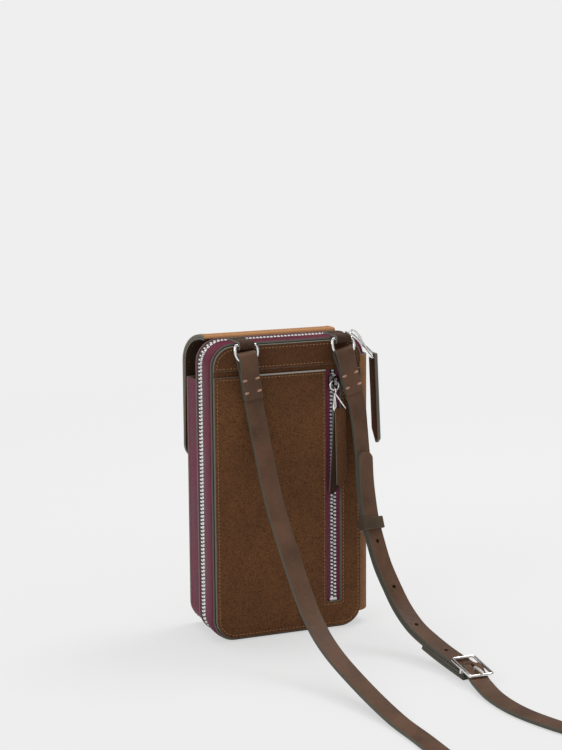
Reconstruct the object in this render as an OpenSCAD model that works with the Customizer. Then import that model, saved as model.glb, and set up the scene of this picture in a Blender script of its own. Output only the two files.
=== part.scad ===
// Phone pouch: a zip-around leather pouch with a flapped phone pocket and a long shoulder strap.
// X runs across the pouch, the flap faces -Y, the back panel faces +Y and Z is up.
// The origin is the centre of the base, on the surface that the pouch stands on.

/* [Body] */
// Width of the back panel
body_w = 100; // [90:1:115]
// Height of the back panel
body_h = 187.2; // [170:1:205]
// Depth from the back panel's face to the phone pocket's face
body_d = 50.5; // [46:0.5:60]
// Radius of the panels' corners
corner_r = 13; // [11:0.5:16]
// Thickness of one layer of panel leather
leather_t = 1.4; // [1:0.1:1.6]
// Thickness of the gusset leather
gusset_t = 1.4; // [1:0.1:1.8]
// Depth from the back panel's face to the main zip's centre line
zip_back_d = 20.75; // [19:0.25:23]
// Depth from the main zip's centre line to the front panel's face
zip_front_d = 7.5; // [7:0.25:9]

/* [Phone pocket] */
// Distance of the phone pocket's rim below the panels' top
pocket_drop = 25; // [20:1:45]
// Thickness of the phone pocket's front wall
pocket_t = 1.7; // [1.5:0.1:2.4]
// Gap between the pocket's front wall and the flap's lining
flap_gap = 1.4; // [0.8:0.1:2]
// Width of the flap where it hangs
flap_w = 102; // [92:1:110]
// Width of the flap at its seam
flap_seam_w = 90; // [70:1:91]
// Height of the hanging flap
flap_l = 84; // [65:0.5:100]
// Outer radius of the bend over the pocket's mouth
flap_bend_r = 19; // [14:0.5:20]
// Radius of the flap's lower corners
flap_corner_r = 10; // [6:0.5:20]
// Thickness of the flap's outer leather
flap_t = 2; // [1.4:0.1:2.4]
// Thickness of the flap's lining
flap_lining_t = 1.4; // [0.8:0.1:1.6]
// Diameter of the closure's magnets
magnet_d = 14; // [8:0.5:18]
// Thickness of the closure's magnets
magnet_t = 0.9; // [0.6:0.1:1.1]
// Height of the closure above the flap's lower edge
magnet_up = 14; // [11:0.5:24]

/* [Back pocket] */
// Distance of the slip pocket's free edge below the panels' top
slip_drop = 19; // [15:0.5:30]
// Gap between the slip pocket's free edge and the top band
slip_gap = 3.5; // [2.5:0.5:6]
// Distance of the back zip's centre line from the panel's edge
back_zip_in = 19.2; // [18.6:0.2:24]
// Width of the slot for the back zip
slot_w = 10.4; // [9.8:0.1:12]
// Height of the slot's lower end above the base
slot_low = 18; // [16:0.5:30]
// Depth of the zip pocket's lining bag
bag_d = 4.6; // [4.6:0.1:5.4]
// Thickness of the lining cloth
cloth_t = 0.8; // [0.5:0.1:1]
// Height of one card slot
card_slot_h = 30; // [24:1:34]

/* [Zips] */
// Width of a closed row of teeth
chain_w = 5; // [4.6:0.1:5.2]
// Distance between teeth on one side
tooth_pitch = 2.4; // [2.2:0.1:3]
// Width of one tooth along the zip
tooth_w = 1.2; // [0.9:0.1:1.4]
// Thickness of the teeth
tooth_t = 3; // [2.6:0.1:3.2]
// Thickness of the zip tape
tape_t = 0.8; // [0.6:0.1:1]
// Width of the zip tape on each side
tape_w = 8; // [7:0.5:9]
// Free space between the two rows of teeth
row_gap = 0.9; // [0.9:0.05:1]
// Length of a slider
slider_l = 11; // [9:0.5:11.5]
// Thickness of a slider's plates
slider_t = 1.2; // [0.9:0.1:1.2]

/* [Spine] */
// How far the spine bulges past the panels' edges
spine_bulge = 9.5; // [7.5:0.5:11]
// Thickness of the spine leather
spine_t = 1.6; // [1.2:0.1:2]
// Height of the spine's lower end above the base
spine_low = 8.5; // [4:0.5:20]
// Distance of the spine's upper end below the main zip's corner centre
spine_drop = -1.5; // [-1.5:0.5:10]

/* [Rings and strap] */
// Distance of the left ring from the panel's middle, as a share of the panel's width
left_share = 0.298; // [0.25:0.002:0.33]
// Distance of the right ring from the panel's middle, as a share of the panel's width
right_share = 0.359; // [0.35:0.001:0.37]
// Width of the tabs
tab_w = 10; // [8:0.5:11]
// Thickness of the tabs' leather
tab_t = 1.6; // [1.2:0.1:2]
// Diameter of the ring wire
ring_wire_d = 1.8; // [1.4:0.1:2]
// Inner width of the rings
ring_in_w = 13; // [12.6:0.1:14]
// Length of a ring's straight sides
ring_side = 3.4; // [3:0.1:4]
// Width of the strap
strap_w = 12; // [10:0.5:12]
// Thickness of the strap
strap_t = 2.2; // [1.8:0.1:2.3]
// Length of the strap's folded ends
fold_l = 30.5; // [28:0.5:32]
// Lean of the left strap end
left_lean = 9; // [0:1:10]
// Lean of the right strap end
right_lean = 16; // [12:1:17]
// Length of the buckle
buckle_l = 26; // [22:0.5:30]
// Inner width of the buckle
buckle_in_w = 13; // [12.6:0.1:15]
// Diameter of the buckle's wire
buckle_wire_d = 1.8; // [1.6:0.1:2]
// Diameter of the strap's holes
hole_d = 2.6; // [2:0.1:3]
// Width of the sliding keeper along the strap
keeper_l = 7.5; // [6:0.5:10]
// Thickness of the sliding keeper's leather
keeper_t = 1.4; // [1:0.1:1.8]

/* [Hidden] */
$fn = 64;

// Clearances and the overrun for cuts
gap = 0.3;
fine_gap = 0.2;
touch_gap = 0.1;
over = 1;

// Colours
leather = "saddlebrown";
burgundy = [0.42, 0.18, 0.27];
steel = "silver";
strap_brown = [0.33, 0.25, 0.2];
thread = [0.7, 0.45, 0.3];
cloth = [0.35, 0.2, 0.22];

// The gussets lie on the zip tape, so they stand out past the panels' edges by both
swell = tape_t / 2 + gusset_t;

// Depths along Y, from the back face to the flap
back_y = body_d / 2;
base_y = back_y - leather_t;
inner_y = base_y - leather_t;
zip_y = back_y - zip_back_d;
row_y = row_gap / 2;
front_y = zip_y - zip_front_d;
front_panel_y = front_y + leather_t;
pocket_face_y = -body_d / 2;
pocket_wall_y = pocket_face_y + pocket_t;
flap_in_y = pocket_face_y - flap_gap;

// Heights along Z and half widths along X
low = swell;
top = low + body_h;
outer_top = top + swell;
slip_h = top - slip_drop;
pocket_h = top - pocket_drop;
half_w = body_w / 2;
corner_x = half_w - corner_r;
back_zip_x = half_w - back_zip_in;
left_x = body_w * left_share;
right_x = body_w * right_share;
far = body_h + body_w;

// The main zip's path runs on past the panels beside the spine, round an arc of its own
zip_reach_share = 0.07;
arc_x = -(half_w + body_w * zip_reach_share - corner_r);
arc_z = top - corner_r;
foot_z = low + corner_r;
slider_angle = 42;
slider_half_a = slider_l / corner_r / 2 * 180 / PI;
clear_a = 3;
tooth_end_a = slider_angle + slider_half_a + clear_a;
spine_top = arc_z - spine_drop;
corner_end_a = asin((spine_top + gap - arc_z) / corner_r);
foot_end_a = asin((foot_z - spine_low + gap) / corner_r);
stop_half_a = 2.5;
stop_a = slider_angle - slider_half_a - stop_half_a - clear_a / 2;

// Lengths of the main zip's stretches, and the tooth counts
run_l = corner_x - arc_x;
turn_l = PI * corner_r / 2;
side_l = body_h - 2 * corner_r;
head_l = corner_r * (90 - tooth_end_a) * PI / 180;
tooth_n = floor((2 * run_l + 2 * turn_l + side_l) / tooth_pitch);
head_n = floor(head_l / tooth_pitch);
row_w = chain_w / 2 - row_y;

// Sliders
void_t = tooth_t / 2 + gap;
void_w = chain_w / 2 + gap;
slider_w = void_w + slider_t;
lip_t = tape_t / 2 + gap;
plate_r = void_t + slider_t;
web_t = row_gap - 2 * gap;
web_a = 8;
bridge_w = 2 * slider_t;
gusset_edge = slider_w + gap;

// Main puller, hung in the slider's bridge
pin_r = slider_t / 2;
pin_space = 2 * pin_r + 2 * fine_gap;
bridge_top = plate_r + pin_space + slider_t;
bridge_half_a = 17;
bridge_void_a = 12;
pin_a = slider_angle - bridge_half_a / 2;
pin_rad = corner_r + plate_r + pin_r + fine_gap;
pin_x = arc_x - pin_rad * cos(pin_a);
pin_z = arc_z + pin_rad * sin(pin_a);
puller_lean = 40;
arm_l = 6;
arm_t = 1;
cap_l = 10.5;
cap_w = 6;
cap_t = 3;
pull_l = 54;
pull_w = 9;
pull_t = 2.4;
pull_lean = 5;
pull_slant = 6;

// Teeth of the two rows stand half a pitch apart
back_shift = 0.75;
front_shift = 0.25;
half_pitch = 0.5;

// Back zip
back_tape_y = inner_y - tape_t / 2;
back_tape_w = 12;
back_stop_h = 2;
back_teeth_low = slot_low + back_stop_h;
back_teeth_top = slip_h - over;
back_slider_z = back_teeth_top - slider_l / 2;
back_tooth_n = floor((back_teeth_top - back_teeth_low) / tooth_pitch);
slip_recess = 0.56;
slip_margin = 6;
bag_margin = 6;
bag_reach = 40;
bag_top = top - corner_r;

// Back puller: a ring in the slider's bridge, a wire bail on the ring and a folded leather pull
link_wire_r = 0.65;
link_r = 3;
link_tilt = 12;
link_y = max(back_tape_y + plate_r, back_y) + link_wire_r + fine_gap;
link_sink = 0.55;
link_z = back_slider_z - link_sink;
back_bridge_low = slider_l / 3;
back_bridge_r = link_y + link_wire_r + fine_gap - back_tape_y;
eye_y = link_y + 2 * link_r * sin(link_tilt);
eye_z = link_z - 2 * link_r * cos(link_tilt);
eye_in_r = link_wire_r + gap;
eye_out_r = eye_in_r + link_wire_r;
eye_w = 1.6;
bail_drop = 13;
bail_half_w = 4.2;
bail_shift = 3.2;
bail_y = eye_y + fine_gap;
bail_z = eye_z - bail_drop;
fold_t = 1.1;
fold_w = 7.2;
fold_bore = link_wire_r + fine_gap;
back_pull_l = 54;
back_pull_short = 6;
back_pull_slant = 4;

// Card pockets on the front panel's inner face
card_n = 4;
card_w = 82;
card_low = 14;
card_rise = 6;
card_step = card_slot_h + card_rise;

// Flap
flap_total = flap_t + flap_lining_t;
hinge_r = flap_total / 2;
hinge_y = front_y - gap - hinge_r;
hinge_z = outer_top;
flap_out_y = flap_in_y - flap_total;
flap_top = hinge_z + hinge_r;
bend_y = flap_out_y + flap_bend_r;
bend_z = flap_top - flap_bend_r;
flap_low = flap_top - flap_l;
magnet_z = flap_low + magnet_up;

// Spine
spine_front_y = front_panel_y + gap;
spine_r = (inner_y - spine_front_y) / 2;
spine_x = -(half_w + spine_bulge - spine_r);
spine_y = (inner_y + spine_front_y) / 2;
spine_flange = 2;

// Tabs and rings
wire_r = ring_wire_d / 2;
bore_r = wire_r + gap;
roll_r = bore_r + tab_t;
bar_y = back_y + fine_gap + roll_r;
bar_z = outer_top + tab_t - roll_r;
ring_r = ring_in_w / 2 + wire_r;
ring_drop = ring_side + ring_r;
ring_tilt = 13;
ring_low_y = bar_y + ring_drop * sin(ring_tilt);
ring_low_z = bar_z - ring_drop * cos(ring_tilt);

// Folded strap ends round the rings
loop_r = 1.9;
left_up = 3.3;
right_up = 1.7;
loop_out_r = loop_r + strap_t;
loop_close = 9.9;
loop_taper = 11.4;
stitch_drops = [13.5, 21.5];
stitch_l = 3.6;
stitch_r = 0.5;
stitch_x = strap_w / 2 - stitch_l / 2;

// The strap's routes: x, y, z and the direction of the strap's width in plan. They are drawn for a
// body of the width, height and back face named here, and follow it where it changes
route_w = 100;
route_h = 187.2;
route_y = 25.25;
route_top = 156;
left_route = [
  [26.1, 29.6, 155.6, 0], [24.9, 30.8, 148, 0], [23.5, 36, 131, 0], [22.5, 46, 108, 0],
  [22, 57, 90, 0], [20, 81, 58, 0], [18.5, 103, 35, 0], [16.5, 126, 21, 2],
  [13, 160, 10, 5], [10, 198, 2.5, 5], [9, 232, 1.2, 0]
];
loop_route = [
  [11, 270, 1.2, -6], [18, 312, 1.2, -10], [23, 352, 1.2, 0], [19, 390, 1.2, 25],
  [2, 420, 1.2, 55], [-26, 434, 1.2, 84], [-58, 430, 1.2, 112], [-82, 408, 1.2, 140],
  [-94, 376, 1.2, 163], [-96, 338, 1.2, 182], [-88, 296, 1.2, 196], [-76, 262, 1.2, 202]
];
floor_route = [[-66, 236, 1.2, 200], [-60, 212, 1.2, 190], [-59, 188, 1.6, 184]];
hole_route = [
  [-61, 168, 3.4, 186], [-63.5, 151, 6, 188], [-60, 125, 10, 190], [-57.5, 110, 13.5, 191],
  [-55, 95, 18.3, 192], [-53, 81, 26.5, 193], [-51, 71, 37, 194], [-49, 61, 49.5, 195],
  [-47.5, 54, 63, 196], [-46.5, 48, 76, 196], [-46.5, 43.5, 88, 197], [-47, 39.5, 100, 199],
  [-47.8, 36.5, 113, 200]
];
ring_route = [
  [-46.8, 33, 121, 199], [-46.2, 31.8, 132, 196], [-45, 30.3, 147, 188], [-42.8, 29.7, 154.8, 180]
];
long_route = concat(left_route, loop_route, floor_route, hole_route);
hole_steps = [2, 4, 6, 8];
buckle_step = 1;
keeper_step = 9;
tail_steps = 3;
layer = strap_t + touch_gap;
strap_bevel = 0.4;
slot_l = 8;
slot_x = 4.6;
keeper_space = 0.7;

// Buckle
wire = buckle_wire_d / 2;
buckle_x = buckle_in_w / 2 + wire;
buckle_y = buckle_l / 2 - wire;
bar_drop = 0.6;
collar_w = 2.4;
collar_bore = wire + fine_gap;
collar_r = collar_bore + wire;
prong_r = 0.8;
prong_up = 2.7;

// Shapes drawn across the pouch (X and Z) are pulled along Y from y0 to y1
module along_y(y0, y1) {
  translate([0, y1, 0])
    rotate([90, 0, 0])
      linear_extrude(y1 - y0)
        children();
}

// Shapes drawn from the side (Y and Z) are pulled along X, centred
module along_x(width) {
  translate([-width / 2, 0, 0])
    rotate([90, 0, 90])
      linear_extrude(width)
        children();
}

module rounded(x0, x1, z0, z1, r) {
  translate([x0 + r, z0])
    square([x1 - x0 - 2 * r, z1 - z0]);
  translate([x0, z0 + r])
    square([x1 - x0, z1 - z0 - 2 * r]);
  for (x = [x0 + r, x1 - r])
    for (z = [z0 + r, z1 - r])
      translate([x, z])
        circle(r);
}

module panel_outline(grow) {
  rounded(-half_w - grow, half_w + grow, low - grow, top + grow, corner_r + grow);
}

module path_outline(grow) {
  rounded(arc_x - corner_r - grow, half_w + grow, low - grow, top + grow, corner_r + grow);
}

// The region beside the spine, between two angles measured from -X at the corner centres
module spine_side(x, a_top, a_low) {
  polygon([
    [x, arc_z], [x - far * cos(a_top), arc_z + far * sin(a_top)],
    [-2 * far, arc_z + far * sin(a_top)], [-2 * far, foot_z - far * sin(a_low)],
    [x - far * cos(a_low), foot_z - far * sin(a_low)], [x, foot_z]
  ]);
}

module path_ring(grow_out, grow_in, a_top, a_low) {
  difference() {
    path_outline(grow_out);
    path_outline(grow_in);
    spine_side(arc_x, a_top, a_low);
  }
}

// Place and heading on the main zip's path, from the end of the arc beside the spine
function head_at(s) =
  let (a = 90 + s / corner_r * 180 / PI)
  [arc_x - corner_r * cos(a), arc_z + corner_r * sin(a), 90 - a];
function turn_at(s) =
  let (a = s / corner_r * 180 / PI)
  [corner_x + corner_r * sin(a), arc_z + corner_r * cos(a), -a];
function foot_at(s) =
  let (a = s / corner_r * 180 / PI)
  [corner_x + corner_r * cos(a), foot_z - corner_r * sin(a), -90 - a];
function path_at(s) =
  s < 0 ? head_at(s)
  : s < run_l ? [arc_x + s, top, 0]
  : s < run_l + turn_l ? turn_at(s - run_l)
  : s < run_l + turn_l + side_l ? [half_w, arc_z - (s - run_l - turn_l), -90]
  : s < run_l + 2 * turn_l + side_l ? foot_at(s - run_l - turn_l - side_l)
  : [corner_x - (s - run_l - 2 * turn_l - side_l), low, 180];

module tooth_row(shift) {
  path_ring(tape_t / 2, -tape_t / 2, tooth_end_a, tooth_end_a);
  for (i = [-head_n:tooth_n - 1]) {
    p = path_at((i + shift) * tooth_pitch);
    translate([p[0], p[1]])
      rotate(p[2])
        square([tooth_w, tooth_t], center = true);
  }
}

// The part of a solid of revolution about the corner centre between two angles
module arc_sweep(a0, a1) {
  translate([arc_x, zip_y, arc_z])
    rotate([90, 0, 0])
      rotate([0, 0, 180 - a1])
        rotate_extrude(angle = a1 - a0)
          children();
}

module arc_block(a0, a1, r0, r1, half) {
  arc_sweep(a0, a1)
    translate([corner_r + r0, -half])
      square([r1 - r0, 2 * half]);
}

// The back half
module slot() {
  translate([-back_zip_x - slot_w / 2, slot_low])
    square([slot_w, slip_h + over - slot_low]);
}

module back_panel() color(leather) difference() {
  along_y(inner_y, base_y)
    difference() {
      panel_outline(0);
      slot();
    }
  along_y(base_y - slip_recess, base_y + over)
    translate([-back_zip_x + slot_w, slip_margin])
      square([half_w + back_zip_x - slot_w - slip_margin, slip_h + slip_gap - slip_margin]);
}

module pocket_panel() color(leather) along_y(base_y, back_y) difference() {
  panel_outline(0);
  slot();
  translate([-far / 2, slip_h])
    square(far);
}

module top_band() color(leather) along_y(base_y, back_y) difference() {
  panel_outline(0);
  translate([-far / 2, slip_h + slip_gap - far])
    square(far);
}

module gusset_ring(a_top, a_low) {
  difference() {
    panel_outline(swell);
    panel_outline(tape_t / 2);
    spine_side(-corner_x, a_top, a_low);
  }
}

module back_gusset() color(burgundy) {
  along_y(zip_y + gusset_edge, inner_y)
    gusset_ring(90, 90);
  along_y(zip_y + row_y + tape_w + gap, inner_y)
    gusset_ring(corner_end_a, foot_end_a);
}

module spine() color(leather) translate([0, 0, spine_low]) linear_extrude(spine_top - spine_low) {
  difference() {
    translate([spine_x, spine_y])
      circle(spine_r);
    translate([spine_x, spine_y])
      circle(spine_r - spine_t);
    translate([spine_x, spine_y - far / 2])
      square(far);
  }
  for (y = [spine_front_y, inner_y - spine_t])
    translate([spine_x, y])
      square([spine_flange, spine_t]);
}

module main_zip_tape_back() color(burgundy) {
  along_y(zip_y + chain_w / 2, zip_y + row_y + tape_w)
    path_ring(tape_t / 2, -tape_t / 2, corner_end_a, tooth_end_a);
}

module main_zip_teeth_back() color(steel) {
  along_y(zip_y + row_y, zip_y + chain_w / 2)
    tooth_row(back_shift);
}

module main_zip_stop() color(steel) {
  difference() {
    arc_block(stop_a - stop_half_a, stop_a + stop_half_a, -tooth_t / 2, tooth_t / 2, chain_w / 2);
    translate([-far / 2, zip_y + row_y - far, 0])
      cube(far);
  }
}

module back_zip_tape(side) {
  translate([-back_zip_x, 0, 0])
    mirror([side < 0 ? 1 : 0, 0, 0])
      translate([chain_w / 2, back_tape_y - tape_t / 2, slot_low])
        cube([back_tape_w - chain_w / 2, tape_t, slip_h - slot_low]);
}

module back_zip_tape_left() color(burgundy) back_zip_tape(1);

module back_zip_tape_right() color(burgundy) back_zip_tape(-1);

module back_row(side, shift) {
  translate([-back_zip_x, 0, back_teeth_low])
    mirror([side < 0 ? 1 : 0, 0, 0]) {
      translate([row_y, back_tape_y - tape_t / 2, 0])
        cube([row_w, tape_t, back_teeth_top - back_teeth_low]);
      for (i = [0:back_tooth_n - 1])
        translate([row_y, back_tape_y - tooth_t / 2, (i + shift) * tooth_pitch])
          cube([row_w, tooth_t, tooth_w]);
    }
}

module back_zip_teeth_left() color(steel) back_row(1, 0);

module back_zip_teeth_right() color(steel) back_row(-1, half_pitch);

module back_zip_stops() color(steel) {
  translate([-back_zip_x - chain_w / 2, back_tape_y - tape_t / 2, slot_low])
    cube([chain_w, tape_t, back_stop_h]);
}

module zip_pocket_bag() color(cloth) difference() {
  translate([-half_w + bag_margin, inner_y - bag_d, slot_low - slip_margin])
    cube([half_w - bag_margin + bag_reach, bag_d, bag_top - slot_low + slip_margin]);
  translate([-half_w + bag_margin + cloth_t, inner_y - bag_d + cloth_t, slot_low - slip_margin + cloth_t])
    cube([
      half_w - bag_margin + bag_reach - 2 * cloth_t, bag_d,
      bag_top - slot_low + slip_margin - 2 * cloth_t
    ]);
}

module tab(x) {
  translate([x, 0, 0]) {
    along_x(tab_w)
      difference() {
        union() {
          translate([bar_y, bar_z])
            circle(roll_r);
          translate([zip_y + gusset_edge, outer_top])
            square([bar_y - zip_y - gusset_edge, tab_t]);
        }
        translate([bar_y, bar_z])
          circle(bore_r);
      }
  }
}

module tab_left() color(leather) tab(left_x);

module tab_right() color(leather) tab(-right_x);

// The front half
module front_band() color(burgundy) along_y(front_panel_y, zip_y - gusset_edge) {
  path_ring(swell, tape_t / 2, tooth_end_a, tooth_end_a);
}

module main_zip_tape_front() color(burgundy) along_y(front_panel_y, zip_y - chain_w / 2) {
  path_ring(tape_t / 2, -tape_t / 2, tooth_end_a, tooth_end_a);
}

module main_zip_teeth_front() color(steel) along_y(zip_y - chain_w / 2, zip_y - row_y) {
  tooth_row(front_shift);
}

module front_panel() color(leather) along_y(front_y, front_panel_y) {
  rounded(-half_w, half_w + swell, 0, outer_top, corner_r + swell);
  rounded(-half_w, 0, 0, outer_top, corner_r / 2);
}

module card_pockets() color(cloth) for (i = [0:card_n - 1]) {
  translate([-card_w / 2, front_panel_y, card_low])
    cube([card_w, cloth_t * (card_n - i), card_step * (i + 1)]);
}

module pocket_outline(inset) {
  difference() {
    rounded(-half_w + inset, half_w - inset, low + inset, top, corner_r - inset);
    translate([-far / 2, pocket_h])
      square(far);
  }
}

module phone_pocket_gusset() color(burgundy) along_y(pocket_wall_y, front_y) difference() {
  pocket_outline(0);
  pocket_outline(gusset_t);
  translate([-half_w + gusset_t, pocket_h - corner_r])
    square([body_w - 2 * gusset_t, far]);
}

module disc(y0, y1, z, r) {
  along_y(y0, y1)
    translate([0, z])
      circle(r);
}

module phone_pocket_front() color(leather) difference() {
  along_y(pocket_face_y, pocket_wall_y)
    pocket_outline(0);
  disc(pocket_wall_y - magnet_t, pocket_wall_y + over, magnet_z, magnet_d / 2 + touch_gap);
}

module pocket_magnet() color(steel) {
  disc(pocket_wall_y - magnet_t, pocket_wall_y, magnet_z, magnet_d / 2);
}

// The flap's side view, set in from its outer face
module flap_side(inset) {
  translate([flap_out_y + inset, flap_low - over])
    square([hinge_y - flap_out_y - inset, bend_z - flap_low + over]);
  translate([bend_y, bend_z - over])
    square([hinge_y - bend_y, flap_top - inset - bend_z + over]);
  intersection() {
    translate([bend_y, bend_z])
      circle(flap_bend_r - inset);
    translate([bend_y - far, bend_z])
      square(far);
  }
}

module flap_shape() {
  intersection() {
    along_x(far)
      children();
    along_y(-far, far)
      union() {
        rounded(-flap_w / 2, flap_w / 2, flap_low, top, flap_corner_r);
        translate([-flap_w / 2, bend_z])
          square([flap_w, far]);
      }
    linear_extrude(far)
      polygon([
        [-flap_w / 2, -far], [-flap_w / 2, flap_out_y], [-flap_seam_w / 2, bend_y],
        [-flap_seam_w / 2, far], [flap_seam_w / 2, far], [flap_seam_w / 2, bend_y],
        [flap_w / 2, flap_out_y], [flap_w / 2, -far]
      ]);
  }
}

module flap() color(leather) flap_shape() {
  difference() {
    flap_side(0);
    flap_side(flap_t);
  }
  intersection() {
    translate([hinge_y, hinge_z])
      circle(hinge_r);
    translate([hinge_y, flap_top - flap_t])
      square(far);
  }
}

module flap_lining() color(leather) difference() {
  flap_shape() {
    difference() {
      flap_side(flap_t);
      flap_side(flap_total);
    }
    intersection() {
      translate([hinge_y, hinge_z])
        circle(hinge_r);
      translate([hinge_y, flap_top - flap_t - far])
        square(far);
    }
  }
  disc(flap_out_y + flap_t - over, flap_out_y + flap_t + magnet_t, magnet_z, magnet_d / 2 + touch_gap);
}

module flap_magnet() color(steel) {
  disc(flap_out_y + flap_t, flap_out_y + flap_t + magnet_t, magnet_z, magnet_d / 2);
}

// The main zip's slider and pull
module main_slider() color(steel) {
  a0 = slider_angle - slider_half_a;
  a1 = slider_angle + slider_half_a;
  difference() {
    arc_block(a0, a1, -plate_r, plate_r, slider_w);
    arc_block(a0 - clear_a, a1 + clear_a, -void_t, void_t, void_w);
    arc_block(a0 - clear_a, a1 + clear_a, -lip_t, lip_t, slider_w + over);
  }
  arc_block(a0, a0 + web_a, -plate_r, plate_r, web_t / 2);
  difference() {
    arc_block(slider_angle - bridge_half_a, slider_angle + bridge_half_a, void_t, bridge_top, bridge_w / 2);
    arc_block(slider_angle - bridge_void_a, slider_angle + bridge_void_a, plate_r,
      bridge_top - slider_t, bridge_w);
  }
}

module hang_main(lean) {
  translate([pin_x, zip_y, pin_z])
    rotate([0, lean, 0])
      children();
}

module main_puller() color(steel) hang_main(puller_lean) {
  arm_y = bridge_w / 2 + fine_gap;
  rotate([90, 0, 0])
    cylinder(r = pin_r, h = 2 * (arm_y + arm_t), center = true);
  for (side = [0, 1])
    mirror([0, side, 0])
      translate([-pin_r, arm_y, -arm_l])
        cube([2 * pin_r, arm_t, arm_l]);
  translate([-cap_t / 2, -cap_w / 2, -arm_l - cap_l])
    cube([cap_t, cap_w, cap_l]);
}

module main_pull_leather() color(leather) {
  reach = arm_l + cap_l;
  hang_main(0)
    translate([-reach * sin(puller_lean), 0, -reach * cos(puller_lean)])
      rotate([0, pull_lean, 0])
        along_x(pull_t)
          polygon([
            [-pull_w / 2, pull_slant / 2], [pull_w / 2, pull_slant / 2],
            [pull_w / 2, -pull_l], [0, -pull_l - pull_slant / 2],
            [-pull_w / 2, -pull_l + pull_slant]
          ]);
}

// The back zip's slider and pull
module back_slider() color(steel) translate([-back_zip_x, back_tape_y, back_slider_z]) {
  difference() {
    cube([2 * slider_w, 2 * plate_r, slider_l], center = true);
    cube([2 * void_w, 2 * void_t, slider_l + over], center = true);
    cube([2 * slider_w + over, 2 * lip_t, slider_l + over], center = true);
  }
  translate([-web_t / 2, -plate_r, slider_l / 2 - bridge_w])
    cube([web_t, 2 * plate_r, bridge_w]);
  difference() {
    translate([-bridge_w / 2, void_t, -back_bridge_low])
      cube([bridge_w, back_bridge_r + slider_t - void_t, 2 * back_bridge_low]);
    translate([-bridge_w, plate_r, slider_t - back_bridge_low])
      cube([2 * bridge_w, back_bridge_r - plate_r, 2 * (back_bridge_low - slider_t)]);
  }
}

module back_pull_ring() color(steel) translate([-back_zip_x, link_y, link_z]) {
  rotate([-90 + link_tilt, 0, 0])
    translate([0, link_r, 0])
      rotate_extrude()
        translate([link_r, 0])
          circle(link_wire_r);
}

module rod(p, q, r) {
  v = q - p;
  translate(p)
    rotate([0, acos(v[2] / norm(v)), atan2(v[1], v[0])])
      cylinder(r = r, h = norm(v));
}

module back_pull_bail() color(steel) {
  x = -back_zip_x;
  translate([x, eye_y, eye_z])
    rotate([0, 90, 0])
      difference() {
        cylinder(r = eye_out_r, h = eye_w, center = true);
        cylinder(r = eye_in_r, h = eye_w + over, center = true);
      }
  left = [x - bail_shift + bail_half_w, bail_y, bail_z];
  right = [x - bail_shift - bail_half_w, bail_y, bail_z];
  start = [x, bail_y, eye_z - eye_in_r - link_wire_r / 2];
  rod(start, left, link_wire_r);
  rod(start, right, link_wire_r);
  rod(left, right, link_wire_r);
  for (p = [start, left, right])
    translate(p)
      sphere(link_wire_r);
}

// The upper half of a loop, from its right side to its left
function arch(r) = [for (a = [0:15:180]) [r * cos(a), r * sin(a)]];

module back_pull_leather() color(leather) {
  r = fold_bore + fold_t;
  translate([-back_zip_x - bail_shift, bail_y, bail_z])
    intersection() {
      along_x(fold_w)
        difference() {
          polygon(concat(arch(r), [
            [-fold_t, -2 * r], [-fold_t, -back_pull_l + back_pull_short],
            [0, -back_pull_l + back_pull_short], [0, -back_pull_l],
            [fold_t, -back_pull_l], [fold_t, -2 * r]
          ]));
          polygon(concat(arch(fold_bore), [[0, -3 * fold_bore]]));
        }
      along_y(-far, far)
        polygon([
          [-fold_w, far], [fold_w, far], [fold_w, -back_pull_l],
          [-fold_w, -back_pull_l + 2 * back_pull_slant]
        ]);
    }
}

// Rings and folded strap ends
module d_ring(x) {
  translate([x, bar_y, bar_z])
    rotate([ring_tilt, 0, 0]) {
      rotate([0, 90, 0])
        cylinder(r = wire_r, h = 2 * ring_r, center = true);
      for (side = [-ring_r, ring_r]) {
        translate([side, 0, 0])
          sphere(wire_r);
        translate([side, 0, -ring_side])
          cylinder(r = wire_r, h = ring_side);
      }
      translate([0, 0, -ring_side])
        rotate([-90, 0, 0])
          rotate_extrude(angle = 180)
            translate([ring_r, 0])
              circle(wire_r);
    }
}

// Turned about the ring's lowest point, to lean as the strap pulls
module leant(x, lean, up) {
  translate([x, ring_low_y, ring_low_z])
    rotate([0, lean, 0])
      translate([0, 0, up])
        children();
}

module strap_end(x, lean, up) {
  leant(x, lean, up)
    along_x(strap_w)
      difference() {
        polygon(concat(arch(loop_out_r), [
          [-strap_t, -loop_taper], [-strap_t, loop_out_r - fold_l],
          [strap_t, loop_out_r - fold_l], [strap_t, -loop_taper]
        ]));
        polygon(concat(arch(loop_r), [[0, -loop_close]]));
      }
}

module strap_stitches(x, lean, up) {
  leant(x, lean, up)
    for (drop = stitch_drops)
      for (side = [-stitch_x, stitch_x])
        translate([side, strap_t, -drop])
          intersection() {
            rotate([0, 90, 0])
              cylinder(r = stitch_r, h = stitch_l, center = true);
            translate([-stitch_l, 0, -stitch_l])
              cube(2 * stitch_l);
          }
}

module d_ring_left() color(steel) d_ring(left_x);

module d_ring_right() color(steel) d_ring(-right_x);

module strap_end_left() color(strap_brown) strap_end(left_x, left_lean, left_up);

module strap_end_right() color(strap_brown) strap_end(-right_x, right_lean, right_up);

module strap_stitches_left() color(thread) strap_stitches(left_x, left_lean, left_up);

module strap_stitches_right() color(thread) strap_stitches(-right_x, right_lean, right_up);

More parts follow.
